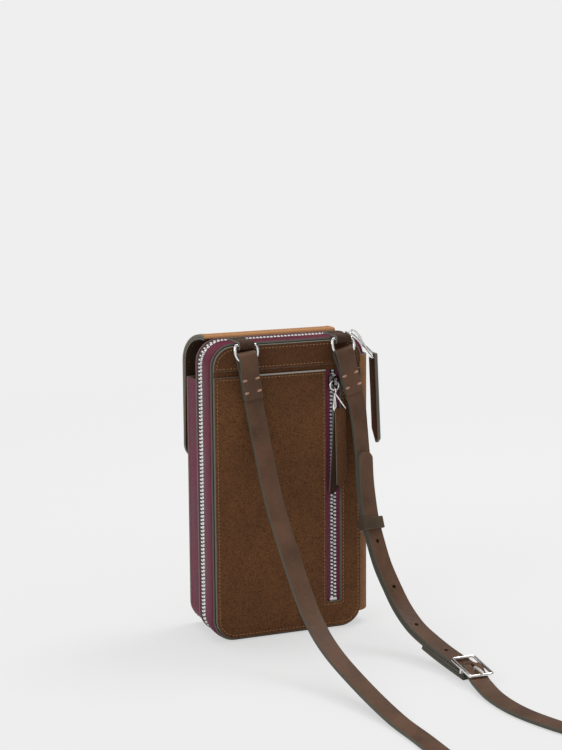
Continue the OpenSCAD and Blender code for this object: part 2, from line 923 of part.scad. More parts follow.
// The strap: a flat bar swept along a route
function unit(v) = v / norm(v);
function place(r, i) = [
  r[i][0] * body_w / route_w, r[i][1] + back_y - route_y,
  r[i][2] * (1 + (body_h - route_h) / route_top)
];
function tangent(r, i) = unit(place(r, min(i + 1, len(r) - 1)) - place(r, max(i - 1, 0)));
function across(r, i) =
  let (t = tangent(r, i), w = [cos(r[i][3]), sin(r[i][3]), 0])
  unit(w - (w * t) * t);
function outward(r, i) = cross(across(r, i), tangent(r, i));
function drawn(r, i) = [r[i][0], r[i][1], r[i][2]];
function lowered(r, i, drop) = concat(drawn(r, i) - outward(r, i) * drop, [r[i][3]]);
section = [
  [strap_w / 2, strap_t / 2 - strap_bevel], [strap_w / 2 - strap_bevel, strap_t / 2],
  [strap_bevel - strap_w / 2, strap_t / 2], [-strap_w / 2, strap_t / 2 - strap_bevel],
  [-strap_w / 2, strap_bevel - strap_t / 2], [strap_bevel - strap_w / 2, -strap_t / 2],
  [strap_w / 2 - strap_bevel, -strap_t / 2], [strap_w / 2, strap_bevel - strap_t / 2]
];

module sweep(r) {
  n = len(r);
  m = len(section);
  polyhedron(
    points = [
      for (i = [0:n - 1])
        for (s = section)
          place(r, i) + across(r, i) * s[0] + outward(r, i) * s[1]
    ],
    faces = concat(
      [[for (k = [0:m - 1]) k]],
      [[for (k = [0:m - 1]) n * m - 1 - k]],
      [
        for (i = [0:n - 2])
          for (k = [0:m - 1])
            for (half = [0, 1])
              half == 0
              ? [i * m + k, (i + 1) * m + k, (i + 1) * m + (k + 1) % m]
              : [i * m + k, (i + 1) * m + (k + 1) % m, i * m + (k + 1) % m]
      ]
    )
  );
}

// Local X across the strap, Y along it and Z outward
module on_strap(i, drop) {
  w = across(hole_route, i);
  t = tangent(hole_route, i);
  u = outward(hole_route, i);
  translate(place(hole_route, i) - u * drop)
    rotate([atan2(t[2], u[2]), -asin(w[2]), atan2(w[1], w[0])])
      children();
}

module strap_long() color(strap_brown) difference() {
  sweep(long_route);
  for (i = hole_steps)
    on_strap(i, 0)
      cylinder(r = hole_d / 2, h = 2 * strap_t, center = true);
  on_strap(buckle_step, 0)
    cube([slot_x, slot_l, 2 * strap_t], center = true);
}

module strap_short() color(strap_brown) difference() {
  sweep(concat([for (i = [buckle_step:len(hole_route) - 1]) lowered(hole_route, i, layer)], ring_route));
  on_strap(buckle_step, layer)
    cube([slot_x, slot_l, 2 * strap_t], center = true);
}

module strap_fold_tail() color(strap_brown) {
  sweep([for (i = [buckle_step:tail_steps]) lowered(hole_route, i, 2 * layer)]);
}

module buckle_frame() color(steel) on_strap(buckle_step, bar_drop) {
  for (y = [-buckle_y, 0, buckle_y])
    translate([0, y, 0])
      rotate([0, 90, 0])
        cylinder(r = wire, h = 2 * buckle_x, center = true);
  for (x = [-buckle_x, buckle_x]) {
    translate([x, 0, 0])
      rotate([90, 0, 0])
        cylinder(r = wire, h = 2 * buckle_y, center = true);
    for (y = [-buckle_y, buckle_y])
      translate([x, y, 0])
        sphere(wire);
  }
}

module buckle_prong() color(steel) on_strap(buckle_step, bar_drop) {
  rotate([0, 90, 0])
    difference() {
      cylinder(r = collar_r, h = collar_w, center = true);
      cylinder(r = collar_bore, h = collar_w + over, center = true);
    }
  translate([0, -collar_r, 0])
    cylinder(r = prong_r, h = prong_up);
  translate([0, -collar_r, prong_up])
    rotate([90, 0, 0])
      cylinder(r = prong_r, h = buckle_y - collar_r);
  for (y = [-collar_r, -buckle_y])
    translate([0, y, prong_up])
      sphere(prong_r);
}

module sliding_keeper() color(leather) on_strap(keeper_step, layer / 2) {
  inner = [strap_w + 2 * keeper_space, keeper_l + over, 2 * layer + 4 * gap];
  difference() {
    cube([inner[0] + 2 * keeper_t, keeper_l, inner[2] + 2 * keeper_t], center = true);
    cube(inner, center = true);
  }
}

back_panel();
pocket_panel();
top_band();
back_gusset();
spine();
main_zip_tape_back();
main_zip_teeth_back();
main_zip_stop();
back_zip_tape_left();
back_zip_tape_right();
back_zip_teeth_left();
back_zip_teeth_right();
back_zip_stops();
zip_pocket_bag();
tab_left();
tab_right();
front_band();
main_zip_tape_front();
main_zip_teeth_front();
front_panel();
card_pockets();
phone_pocket_gusset();
phone_pocket_front();
pocket_magnet();
flap();
flap_lining();
flap_magnet();
main_slider();
main_puller();
main_pull_leather();
back_slider();
back_pull_ring();
back_pull_bail();
back_pull_leather();
d_ring_left();
strap_end_left();
strap_stitches_left();
d_ring_right();
strap_end_right();
strap_stitches_right();
strap_long();
strap_short();
strap_fold_tail();
buckle_frame();
buckle_prong();
sliding_keeper();
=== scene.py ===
# %% [markdown]
# A leather phone pouch in Blender, as a lesson in cells. The measured solids come in first as a
# fixed frame. Each later cell dresses one part of them: it explains what the piece is on the real
# pouch, how it could be made, and why this way was chosen.

# %% Load the measured frame
from math import sin, cos, pi, radians
import bpy, bmesh
from mathutils import Vector, Matrix, Euler


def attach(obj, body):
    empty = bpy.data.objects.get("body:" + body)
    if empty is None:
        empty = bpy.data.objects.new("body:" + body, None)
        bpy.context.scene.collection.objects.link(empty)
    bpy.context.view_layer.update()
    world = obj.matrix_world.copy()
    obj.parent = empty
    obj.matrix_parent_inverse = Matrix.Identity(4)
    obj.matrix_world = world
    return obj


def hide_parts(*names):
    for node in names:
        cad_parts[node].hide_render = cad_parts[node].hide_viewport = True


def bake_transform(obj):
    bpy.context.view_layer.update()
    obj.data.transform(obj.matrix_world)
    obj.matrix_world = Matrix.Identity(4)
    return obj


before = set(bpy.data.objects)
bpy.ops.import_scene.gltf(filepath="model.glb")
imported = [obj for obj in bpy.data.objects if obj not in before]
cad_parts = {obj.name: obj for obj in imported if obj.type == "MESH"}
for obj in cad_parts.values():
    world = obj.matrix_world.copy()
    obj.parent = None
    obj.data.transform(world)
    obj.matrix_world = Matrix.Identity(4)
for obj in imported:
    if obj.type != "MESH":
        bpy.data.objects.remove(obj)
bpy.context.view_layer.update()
MM = 0.001


def add(name, data):
    obj = bpy.data.objects.new(name, data)
    bpy.context.collection.objects.link(obj)
    return obj


print("nodes:", len(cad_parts))

# %% [markdown]
# The photo looks at the back of the pouch from a little above. A long lens keeps the upright edges
# almost parallel. The camera is placed by the pouch's own edges, so the model falls on the photo.

# %% Camera
lens = bpy.data.cameras.new("view_camera")
lens.sensor_fit = "VERTICAL"
lens.sensor_height = 36.0
lens.lens = 87.06
lens.clip_end = 50
camera = add("view_camera", lens)
aim = Euler((radians(80.575), 0, radians(157.431))).to_matrix()
roll = Matrix.Rotation(radians(-0.435), 3, "Z")
camera.matrix_world = Matrix.Translation((0.4353, 1.06015, 0.3551)) @ (aim @ roll).to_4x4()
bpy.context.scene.camera = camera
bpy.context.scene.view_settings.view_transform = "Standard"
print("camera at", tuple(round(v, 3) for v in camera.matrix_world.translation))

# %% [markdown]
# Shader maths reads best as plain expressions. A small class wraps a socket and overloads the
# operators, so that a mask can be written as 1 - grain * 0.5 and the Math nodes appear by themselves.
# A graph adds nodes to any tree, of a material or of the world; a finish is the graph of a material.

# %% A socket that does maths, and a material that starts empty
class Sock:
    def __init__(self, graph, socket):
        self.graph, self.socket = graph, socket

    def maths(self, operation, a, b):
        return self.graph.node("ShaderNodeMath", {0: a, 1: b}, operation=operation)

    def __add__(self, o): return self.maths("ADD", self, o)
    def __radd__(self, o): return self.maths("ADD", o, self)
    def __sub__(self, o): return self.maths("SUBTRACT", self, o)
    def __rsub__(self, o): return self.maths("SUBTRACT", o, self)
    def __mul__(self, o): return self.maths("MULTIPLY", self, o)

    def step(self, low, high):
        return self.graph.node("ShaderNodeMapRange", {0: self, 1: low, 2: high, 3: 0.0, 4: 1.0},
                               interpolation_type="SMOOTHSTEP")


class Graph:
    def __init__(self, tree):
        self.tree = tree

    def node(self, kind, inputs=None, out=0, **settings):
        n = self.tree.nodes.new(kind)
        for key, value in settings.items():
            setattr(n, key, value)
        for key, value in (inputs or {}).items():
            self.put(n.inputs[key], value)
        return Sock(self, n.outputs[out])

    def put(self, socket, value):
        if isinstance(value, Sock):
            self.tree.links.new(value.socket, socket)
        elif socket.type == "RGBA" and len(value) == 3:
            socket.default_value = (*value, 1)
        else:
            socket.default_value = value


class Finish(Graph):
    def __init__(self, name):
        self.data = bpy.data.materials.new(name)
        self.data.use_nodes = True
        super().__init__(self.data.node_tree)
        self.shader = self.tree.nodes["Principled BSDF"]

    def place(self):
        return self.node("ShaderNodeTexCoord", out=3)

    def xyz(self):
        split = self.tree.nodes.new("ShaderNodeSeparateXYZ")
        self.put(split.inputs[0], self.place())
        return [Sock(self, out) for out in split.outputs]

    def noise(self, scale, detail=3, rough=0.5, distort=0.0):
        return self.node("ShaderNodeTexNoise", {"Vector": self.place(), "Scale": scale, "Detail": detail,
                                                "Roughness": rough, "Distortion": distort})

    def cells(self, scale):
        return self.node("ShaderNodeTexVoronoi", {"Vector": self.place(), "Scale": scale})

    def mask(self, name):
        return self.node("ShaderNodeAttribute", out=2, attribute_name=name)

    def mix(self, a, b, amount):
        return self.node("ShaderNodeMix", {0: amount, 6: a, 7: b}, out=2, data_type="RGBA")

    def bump(self, height, distance, strength):
        return self.node("ShaderNodeBump", {"Height": height, "Distance": distance, "Strength": strength})

    def set(self, **values):
        for key, value in values.items():
            self.put(self.shader.inputs[key.replace("_", " ")], value)
        return self.data


def srgb(*rgb):
    return tuple(((v / 255 + 0.055) / 1.055) ** 2.4 for v in rgb)


print("shader helpers ready")

# %% [markdown]
# The body is a waxed nubuck: a brown hide with a short nap. Its colour wanders between red-brown and
# gold over some ten millimetres, with a much finer grain on top, and the nap gives a soft sheen. The
# cut edges are sealed with grey-green edge paint, which is marked on the mesh by the attribute "rim".
# The top of the back panels is darkened by painted shade, the flap's top gets a painted highlight, and lighter
# copies of the hide paint light on the flap and the spine.

# %% Panel leather with painted edges
EDGE = srgb(112, 110, 102)


def nubuck(name, dark, mid, light, rough=0.78, grain=1.0, painted_top_shade=0.0, painted_top_highlight=None):
    m = Finish(name)
    cloud = m.noise(70, 5, 0.7, distort=0.8).step(0.3, 0.72)
    patch = m.noise(16, 2).step(0.34, 0.7)
    fine = m.noise(1500, 4, 0.75)
    speck = m.noise(900, 3, 0.7).step(0.42, 0.68)
    base = m.mix(m.mix(dark, mid, 0.6), mid, cloud)
    base = m.mix(base, light, patch * 0.25 + fine.step(0.46, 0.66) * 0.55)
    base = m.mix(base, dark, speck * (0.78 * grain))
    level = m.xyz()[2]
    # Painted shade: above 140 mm the hide darkens toward its dark tone, standing in for the shade near the top of
    # the back panels.
    base = m.mix(base, dark, level.step(0.14, 0.19) * painted_top_shade)
    # Painted highlight: above 185 mm the flap's top is lightened as if lit from above.
    if painted_top_highlight:
        base = m.mix(base, painted_top_highlight, level.step(0.185, 0.192) * 0.85)
    rim = m.mask("rim")
    hide = 1 - rim
    height = fine * 0.6 + m.cells(1150) * 0.6
    return m.set(
        Base_Color=m.mix(base, EDGE, rim),
        Roughness=(rough + (cloud - 0.5) * 0.08) * hide + rim * 0.45,
        Normal=m.bump(height * hide, 0.00012 * grain, 0.55),
        Specular_IOR_Level=0.12, Sheen_Weight=0.03, Sheen_Roughness=0.45)


panel_leather = nubuck("panel_leather", srgb(68, 42, 26), srgb(106, 70, 43), srgb(136, 92, 56), painted_top_shade=0.55)
tail_leather = nubuck("tail_leather", srgb(66, 42, 28), srgb(94, 62, 40), srgb(118, 80, 52))
# A lighter copy of the hide, painted light for the spine and the hinge fold on the lit side of the pouch.
painted_lit_leather = nubuck("painted_lit_leather", srgb(106, 70, 44), srgb(138, 94, 58), srgb(164, 116, 74))
# The flap's outer hide is a lighter copy of the body hide: painted light on the flap's lit top, with a painted
# highlight along the very top.
painted_lit_flap_leather = nubuck("painted_lit_flap_leather", srgb(82, 53, 33), srgb(118, 79, 49), srgb(146, 100, 63),
                       painted_top_highlight=srgb(186, 134, 90))
tab_leather = nubuck("tab_leather", srgb(48, 34, 26), srgb(66, 48, 36), srgb(88, 64, 48))
# Dark hide of the flap's lining; the back pull's rear tail also wears it as painted shade.
lining_and_shade_leather = nubuck("lining_and_shade_leather", srgb(44, 30, 22), srgb(54, 37, 27), srgb(66, 46, 32), 0.7)
# Painted highlight: a pale copy of the edge paint for the slip pocket's free edge, lit from above.
painted_highlight_edge = nubuck("painted_highlight_edge", srgb(150, 147, 138), srgb(168, 165, 156), srgb(184, 182, 174), 0.5, 0.3)
print("nubuck finishes:", panel_leather.name, painted_lit_leather.name, lining_and_shade_leather.name)

# %% [markdown]
# The gussets are a smoother burgundy hide with a fine pebbled grain and a slight shine. The strap is
# a bridle-type leather: smooth, taupe brown, lightly waxed, with the same painted edge.

# %% Gusset and strap leather
def smooth_hide(name, dark, light, rough, pebble_scale, bump, rim_colour=EDGE, spots=0.0, marks=0.0):
    m = Finish(name)
    cloud = m.noise(38, 3, 0.55).step(0.3, 0.72)
    pebble = m.cells(pebble_scale)
    fine = m.noise(2200, 2, 0.6)
    rim = m.mask("rim")
    hide = 1 - rim
    pit, scratch = tuple(v * 0.45 for v in dark), tuple(min(1, v * 1.5) for v in light)
    base = m.mix(dark, light, cloud * 0.8 + fine * 0.3)
    base = m.mix(base, pit, pebble.step(0.42, 0.8) * spots)
    base = m.mix(base, scratch, m.noise(460, 6, 0.72).step(0.56, 0.7) * marks)
    return m.set(
        Base_Color=m.mix(base, rim_colour, rim),
        Roughness=(rough + (cloud - 0.5) * 0.12) * hide + rim * 0.42,
        Normal=m.bump((pebble + fine * 0.5) * hide, bump, 0.6),
        Specular_IOR_Level=0.16)


burgundy = smooth_hide("gusset_leather", srgb(92, 28, 48), srgb(116, 42, 64), 0.5, 850, 0.0001, spots=0.45)
strap_hide = smooth_hide("strap_leather", srgb(76, 54, 42), srgb(104, 76, 58), 0.52, 1700, 0.00004,
                         rim_colour=srgb(82, 80, 70), marks=0.4)
keeper_leather = smooth_hide("keeper_leather", srgb(60, 48, 38), srgb(88, 72, 57), 0.5, 1700, 0.00004,
                             rim_colour=srgb(126, 122, 110), marks=0.4)
print("hides:", burgundy.name, strap_hide.name, keeper_leather.name)

# %% [markdown]
# Small materials: polished nickel for the rings and sliders, the same metal with a rougher stamp for
# the zip's teeth, a herringbone zip tape, waxed thread, and a plain lining cloth.

# %% Metal, tape, thread and cloth
def metal(name, colour, rough, metallic=1.0):
    m = Finish(name)
    return m.set(Base_Color=colour, Metallic=metallic, Roughness=rough + m.noise(300, 3, 0.6) * 0.08,
                 Normal=m.bump(m.noise(900, 2), 0.00002, 0.3))


def woven(name, dark, light, pitch):
    m = Finish(name)
    x, y, z = m.xyz()
    rib, cross = (m.node("ShaderNodeMath", {0: slope * (2 * pi / pitch)}, operation="SINE") * 0.5 + 0.5
                  for slope in (x + z + y, x - z + y))
    weave = rib * cross
    return m.set(Base_Color=m.mix(dark, light, weave), Roughness=0.85,
                 Normal=m.bump(weave, 0.00012, 0.7), Sheen_Weight=0.2)


def thread(name, dark, light):
    m = Finish(name)
    return m.set(Base_Color=m.mix(dark, light, m.noise(2500, 2)), Roughness=0.6,
                 Normal=m.bump(m.noise(4200, 2), 0.00006, 0.8))


nickel = metal("nickel", (0.95, 0.94, 0.92), 0.1)
bright_nickel = metal("bright_nickel", (1.0, 0.99, 0.97), 0.24, 0.6)
dark_nickel = metal("dark_nickel", (0.24, 0.23, 0.22), 0.14)
tooth_metal = metal("tooth_metal", (1.0, 0.99, 0.99), 0.3, 0.25)
magnet_metal = metal("magnet_metal", (0.6, 0.6, 0.6), 0.3)
zip_tape = woven("zip_tape", srgb(52, 18, 32), srgb(88, 34, 52), 0.0009)
# Painted light: a brighter copy of the zip tape for the back zip, whose tape lies in the shade of its slot.
painted_lit_tape = woven("painted_lit_tape", srgb(108, 38, 64), srgb(150, 60, 92), 0.0009)
lining_cloth = woven("lining_cloth", srgb(70, 42, 40), srgb(98, 62, 56), 0.0007)
tan_thread = thread("tan_thread", srgb(124, 90, 58), srgb(178, 138, 98))
dark_thread = thread("dark_thread", srgb(48, 28, 18), srgb(78, 48, 30))
wine_thread = thread("wine_thread", srgb(120, 64, 78), srgb(176, 116, 128))
copper_thread = thread("copper_thread", srgb(150, 104, 82), srgb(206, 164, 142))
print("small finishes ready")

# %% [markdown]
# The strap lies where the measured solids say. Its route is a list of points with the direction of its width, in
# degrees; a smooth curve through them is swept with a flat section that has rounded, painted edges. A curve
# object with a profile would twist; a swept mesh keeps the strap's face where it is.

# %% Smooth routes and the swept strap
def smooth(route, per):
    out = []
    n = len(route)
    for i in range(n - 1):
        a, b, c, d = (Vector(route[min(max(k, 0), n - 1)]) for k in (i - 1, i, i + 1, i + 2))
        for s in range(per):
            t = s / per
            out.append(0.5 * ((2 * b) + (c - a) * t + (2 * a - 5 * b + 4 * c - d) * t ** 2
                              + (3 * b - a - 3 * c + d) * t ** 3))
    out.append(Vector(route[-1]))
    return out


def neighbours(points, i):
    return points[max(i - 1, 0)], points[min(i + 1, len(points) - 1)]


def side_frame(before, after, degrees):
    t = (Vector(after[:3]) - Vector(before[:3])).normalized()
    w = Vector((cos(radians(degrees)), sin(radians(degrees)), 0))
    w = (w - w.dot(t) * t).normalized()
    return w, t, w.cross(t)


def frames_of(route, per=6):
    pts = smooth(route, per)
    return [(p.xyz * MM, *side_frame(*neighbours(pts, i), p.w)) for i, p in enumerate(pts)]


def offset_route(route, drop):
    return [(*(Vector(p[:3]) - side_frame(*neighbours(route, i), p[3])[2] * drop), p[3])
            for i, p in enumerate(route)]


def run_length(frames):
    return sum((b[0] - a[0]).length for a, b in zip(frames, frames[1:]))


def new_object(name, verts, faces, material, rims=None, flat=False):
    mesh = bpy.data.meshes.new(name)
    mesh.from_pydata([tuple(v) for v in verts], [], faces)
    if rims is not None:
        layer = mesh.attributes.new("rim", "FLOAT", "FACE")
        layer.data.foreach_set("value", [float(v) for v in rims])
    mesh.materials.append(material)
    mesh.polygons.foreach_set("use_smooth", [not flat] * len(mesh.polygons))
    return add(name, mesh)


def fan(start, end, steps):
    return [start + (end - start) * i / steps for i in range(steps + 1)]


def ring_points(cx, cy, r, angles):
    return [(cx + r * cos(radians(a)), cy + r * sin(radians(a))) for a in angles]


def rounded_outline(w, h, r, steps):
    pts = []
    for sx, sy, start in ((1, 1, 0), (-1, 1, 90), (-1, -1, 180), (1, -1, 270)):
        pts += ring_points(sx * (w / 2 - r), sy * (h / 2 - r), r, fan(start, start + 90, steps))
    return pts


def flat_section(width, thick, rounding=0.45):
    r = min(rounding, thick / 2 - 0.01)
    return [(x * MM, y * MM) for x, y in rounded_outline(width, thick, r, 4)]


RIM_WIDTH = 0.5 * MM


def sweep(name, frames, section, material, tip=0.0):
    m, verts, faces, rims = len(section), [], [], []
    half = max(s[0] for s in section)
    widths = [1.0] * len(frames)
    if tip:
        p, w, t, u = frames[-1]
        for a in range(15, 91, 15):
            frames = frames + [(p + t * (tip * MM * sin(radians(a))), w, t, u)]
            widths.append(max(cos(radians(a)), 0.12))
    for (p, w, t, u), wide in zip(frames, widths):
        verts += [p + w * (x * wide) + u * y for x, y in section]
    for i in range(len(frames) - 1):
        for k in range(m):
            after = (k + 1) % m
            faces.append((i * m + k, i * m + after, (i + 1) * m + after, (i + 1) * m + k))
            rims.append(abs(section[k][0] + section[after][0]) / 2 > half - RIM_WIDTH)
    faces += [tuple(range(m - 1, -1, -1)), tuple(range((len(frames) - 1) * m, len(frames) * m))]
    return new_object(name, verts, faces, material, rims + [1.0, 1.0])


left_route = [(26.1, 29.6, 155.6, 0), (24.9, 30.8, 148, 0), (23.5, 36, 131, 0), (22.5, 46, 108, 0),
              (22, 57, 90, 0), (20, 81, 58, 0), (18.5, 103, 35, 0), (16.5, 126, 21, 2),
              (13, 160, 10, 5), (10, 198, 2.5, 5), (9, 232, 1.2, 0)]
loop_route = [(11, 270, 1.2, -6), (18, 312, 1.2, -10), (23, 352, 1.2, 0), (19, 390, 1.2, 25),
              (2, 420, 1.2, 55), (-26, 434, 1.2, 84), (-58, 430, 1.2, 112), (-82, 408, 1.2, 140),
              (-94, 376, 1.2, 163), (-96, 338, 1.2, 182), (-88, 296, 1.2, 196), (-76, 262, 1.2, 202)]
floor_route = [(-66, 236, 1.2, 200), (-60, 212, 1.2, 190), (-59, 188, 1.6, 184)]
hole_route = [(-61, 168, 3.4, 186), (-63.5, 151, 6, 188), (-60, 125, 10, 190), (-57.5, 110, 13.5, 191),
              (-55, 95, 18.3, 192), (-53, 81, 26.5, 193), (-51, 71, 37, 194), (-49, 61, 49.5, 195),
              (-47.5, 54, 63, 196), (-46.5, 48, 76, 196), (-46.5, 43.5, 88, 197), (-47, 39.5, 100, 199),
              (-47.8, 36.5, 113, 200)]
ring_route = [(-46.8, 33, 121, 199), (-46.2, 31.8, 132, 196), (-45, 30.3, 147, 188), (-42.8, 29.7, 154.8, 180)]
STRAP_W, STRAP_T, LAYER = 12, 2.2, 2.3
BUCKLE = Vector(hole_route[1][:3]) * MM
BAR_LIFT, BAR_REACH = 2.6 * MM, 7 * MM


def over_bar(frames):
    return [(p + u * (BAR_LIFT * cos(pi / 2 * min((p - BUCKLE).length / BAR_REACH, 1)) ** 2), w, t, u)
            for p, w, t, u in frames]


long_frames = over_bar(frames_of(left_route + loop_route + floor_route + hole_route, 10))
short_frames = frames_of(offset_route(hole_route, LAYER)[1:] + ring_route)
tail_frames = frames_of(offset_route(hole_route, 2 * LAYER)[1:4])
strap_section = flat_section(STRAP_W, STRAP_T)
strap_long = sweep("strap_long_leather", long_frames, strap_section, strap_hide, tip=4.5)
strap_short = sweep("strap_short_leather", short_frames, strap_section, strap_hide)
strap_tail = sweep("strap_tail_leather", tail_frames, strap_section, strap_hide)
for piece, node in ((strap_long, "strap_long"), (strap_short, "strap_short"), (strap_tail, "strap_fold_tail")):
    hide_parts(node)
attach(strap_tail, "back_half")
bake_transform(strap_long)
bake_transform(strap_short)
print("strap lengths:", round(run_length(long_frames), 3), round(run_length(short_frames), 3))

# %% [markdown]
# The studio: a pale floor that fades into a pale backdrop, one large soft lamp from the upper left of
# the picture, a weaker one from the right, and a pale world. The floor keeps the soft shadow near the
# pouch; further out it shows the backdrop's colour to the camera alone, so the horizon disappears.
# Metal sees a room of lighter and darker parts instead of the even backdrop.

# %% Floor, backdrop and soft lamps
PALE = (0.862,) * 3


def floor_finish():
    m = Finish("studio_floor")
    far_off = m.node("ShaderNodeVectorMath", {0: m.place()}, out=1, operation="LENGTH").step(0.45, 1.1)
    share = (far_off * 0.35 + 0.65) * m.node("ShaderNodeLightPath")
    plain = m.node("ShaderNodeBsdfDiffuse", {0: (0.79,) * 3})
    glow = m.node("ShaderNodeEmission", {0: PALE})
    mixed = m.node("ShaderNodeMixShader", {0: share, 1: plain, 2: glow})
    m.put(m.tree.nodes["Material Output"].inputs[0], mixed)
    m.tree.nodes.remove(m.shader)
    return m.data


bpy.ops.object.select_all(action="DESELECT")
bpy.ops.mesh.primitive_plane_add(size=8, location=(0, 0, -0.0004))
floor_plane = bpy.context.object
floor_plane.name = "studio_floor"
floor_plane.data.materials.append(floor_finish())

world = bpy.data.worlds.new("studio_world")
bpy.context.scene.world = world
world.use_nodes = True
sky = Graph(world.node_tree)
back = sky.tree.nodes["Background"]
sky.put(back.inputs[0], (1, 1, 1))
sky.put(back.inputs[1], 0.58)
around = sky.node("ShaderNodeTexCoord", out="Generated")
wave = sky.node("ShaderNodeTexNoise", {"Vector": around, "Scale": 1.25})
room_light = sky.node("ShaderNodeMapRange", {0: wave, 1: 0.42, 2: 0.6, 3: 0.02, 4: 0.95})
glossy = sky.node("ShaderNodeLightPath", out="Is Glossy Ray")
shiny = sky.node("ShaderNodeMixShader", {0: glossy, 1: Sock(sky, back.outputs[0]),
                                         2: sky.node("ShaderNodeBackground", {1: room_light})})
seen = sky.node("ShaderNodeLightPath", out="Is Camera Ray")
sky.put(sky.tree.nodes["World Output"].inputs[0],
        sky.node("ShaderNodeMixShader", {0: seen, 1: shiny, 2: sky.node("ShaderNodeBackground", {0: PALE})}))

AIM = Vector((0, 0, 0.1))
for name, place, size, power in (("key_lamp", (-0.9, -0.3, 1.8), 0.9, 13),
                                 ("top_lamp", (0.1, -0.5, 1.9), 1.2, 8),
                                 ("side_lamp", (1.5, 0.7, 1.1), 1.2, 6)):
    bulb = bpy.data.lights.new(name, "AREA")
    bulb.shape, bulb.size, bulb.energy = "DISK", size, power
    lamp = add(name, bulb)
    lamp.location = place
    lamp.rotation_euler = (AIM - Vector(place)).to_track_quat("-Z", "Y").to_euler()
print("studio ready")

# %% [markdown]
# The measured pieces that are right as they are keep their shape and only get a finish.

# %% Finishes for the measured pieces
for name in ("pocket_magnet", "flap_magnet"):
    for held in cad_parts[name].material_slots:
        held.material = magnet_metal
print("measured pieces dressed")

# %% [markdown]
# Most pieces below start as a primitive at its size and place, shaped in edit mode. These helpers do
# what a hand does: deselect all, pick faces or edges by their place, run one operator, apply it.

# %% Helpers for modelling with operators
def select_only(obj):
    bpy.ops.object.select_all(action="DESELECT")
    bpy.context.view_layer.objects.active = obj
    obj.select_set(True)


def start_edit(obj, action="DESELECT"):
    select_only(obj)
    bpy.ops.object.mode_set(mode="EDIT")
    bpy.ops.mesh.select_all(action=action)


def end_edit():
    bpy.ops.object.mode_set(mode="OBJECT")


def pick(obj, kind, test):
    bpy.ops.mesh.select_mode(type=kind)
    bm = bmesh.from_edit_mesh(obj.data)
    for item in {"EDGE": bm.edges, "FACE": bm.faces}[kind]:
        item.select_set(bool(test(item)))
    bmesh.update_edit_mesh(obj.data)


def span(edge, axis):
    return abs(edge.verts[0].co[axis] - edge.verts[1].co[axis])


def bevel_picked(width, segments):
    bpy.ops.mesh.bevel(offset=width * MM, segments=segments, affect="EDGES")


def round_edges(obj, test, width, segments):
    start_edit(obj)
    pick(obj, "EDGE", test)
    bevel_picked(width, segments)
    end_edit()


def resize_face(obj, test, scale):
    start_edit(obj)
    pick(obj, "FACE", test)
    bpy.ops.transform.resize(value=scale)
    end_edit()


def extrude(x, y, z):
    bpy.ops.mesh.extrude_region_move(TRANSFORM_OT_translate={"value": (x * MM, y * MM, z * MM)})


def block(name, low, high):
    bpy.ops.object.select_all(action="DESELECT")
    bpy.ops.mesh.primitive_cube_add(size=1, location=[(h + l) / 2 * MM for l, h in zip(low, high)])
    obj = bpy.context.object
    obj.name = obj.data.name = name
    obj.scale = [(h - l) * MM for l, h in zip(low, high)]
    bpy.ops.object.transform_apply(location=True, rotation=True, scale=True)
    return obj


def with_modifier(obj, kind, **settings):
    select_only(obj)
    mod = obj.modifiers.new(kind.lower(), kind)
    for key, value in settings.items():
        setattr(mod, key, value)
    bpy.ops.object.modifier_apply(modifier=mod.name)


def smooth_shade(obj, angle=40):
    select_only(obj)
    bpy.ops.object.shade_smooth_by_angle(angle=radians(angle))


def soften(obj, width, segments=3, angle=35):
    with_modifier(obj, "BEVEL", width=width * MM, segments=segments, limit_method="ANGLE",
                  angle_limit=radians(angle), harden_normals=False)
    smooth_shade(obj)


def mark_rim(obj, test):
    layer = obj.data.attributes.new("rim", "FLOAT", "FACE")
    layer.data.foreach_set("value", [float(bool(test(p))) for p in obj.data.polygons])


def cut_out(obj, cutter):
    with_modifier(obj, "BOOLEAN", operation="DIFFERENCE", object=cutter, solver="EXACT")
    bpy.data.objects.remove(cutter, do_unlink=True)


def merge(obj, *others):
    select_only(obj)
    for other in others:
        other.select_set(True)
    bpy.ops.object.join()
    return obj


def shift(x, y, z):
    return Matrix.Translation((x * MM, y * MM, z * MM))


def turned(degrees, axis):
    return Matrix.Rotation(radians(degrees), 4, axis)


def dress(obj, material, body, node=None):
    obj.data.materials.clear()
    obj.data.materials.append(material)
    if body:
        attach(obj, body)
    if node:
        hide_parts(node)
    print(obj.name, "faces:", len(obj.data.polygons))


print("modelling helpers ready")

# %% [markdown]
# The back is two cut plates of hide: the pocket panel with the slot for its zip, and the band above
# the slip pocket. Each starts as a cube whose upright corners are bevelled round; bisecting gives the
# free edge, a cutter gives the slot, and a small bevel rounds the painted edge.

# %% Back plates
HALF, LOW, TOP, CORNER = 50, 1.8, 189.0, 13          # half width, base, top and corner radius
CX, CZ, CT = HALF - CORNER, LOW + CORNER, TOP - CORNER   # where the corners' centres are
BACK, BACK_IN, INNER = 25.25, 23.85, 22.45           # y of the back: outer face, glue line, inner face
FRONT, FRONT_IN = -25.25, -23.55                     # y of the phone pocket's front wall
SLOT_LOW, SLOT_X = 18, (-36, -25.6)                  # the back zip's slot


def rounded_plate(name, low, high, corners):
    plate = block(name, low, high)
    for (cx, cz), r in corners.items():
        round_edges(plate, lambda e: all(abs(v.co.x - cx * MM) < 1e-5 and abs(v.co.z - cz * MM) < 1e-5
                                         for v in e.verts), r, 10)
    return plate


def body_plate(name, y0, y1, heights=(LOW, TOP)):
    return rounded_plate(name, (-HALF, y0, LOW), (HALF, y1, TOP),
                         {(x, z): CORNER for x in (-HALF, HALF) for z in heights})


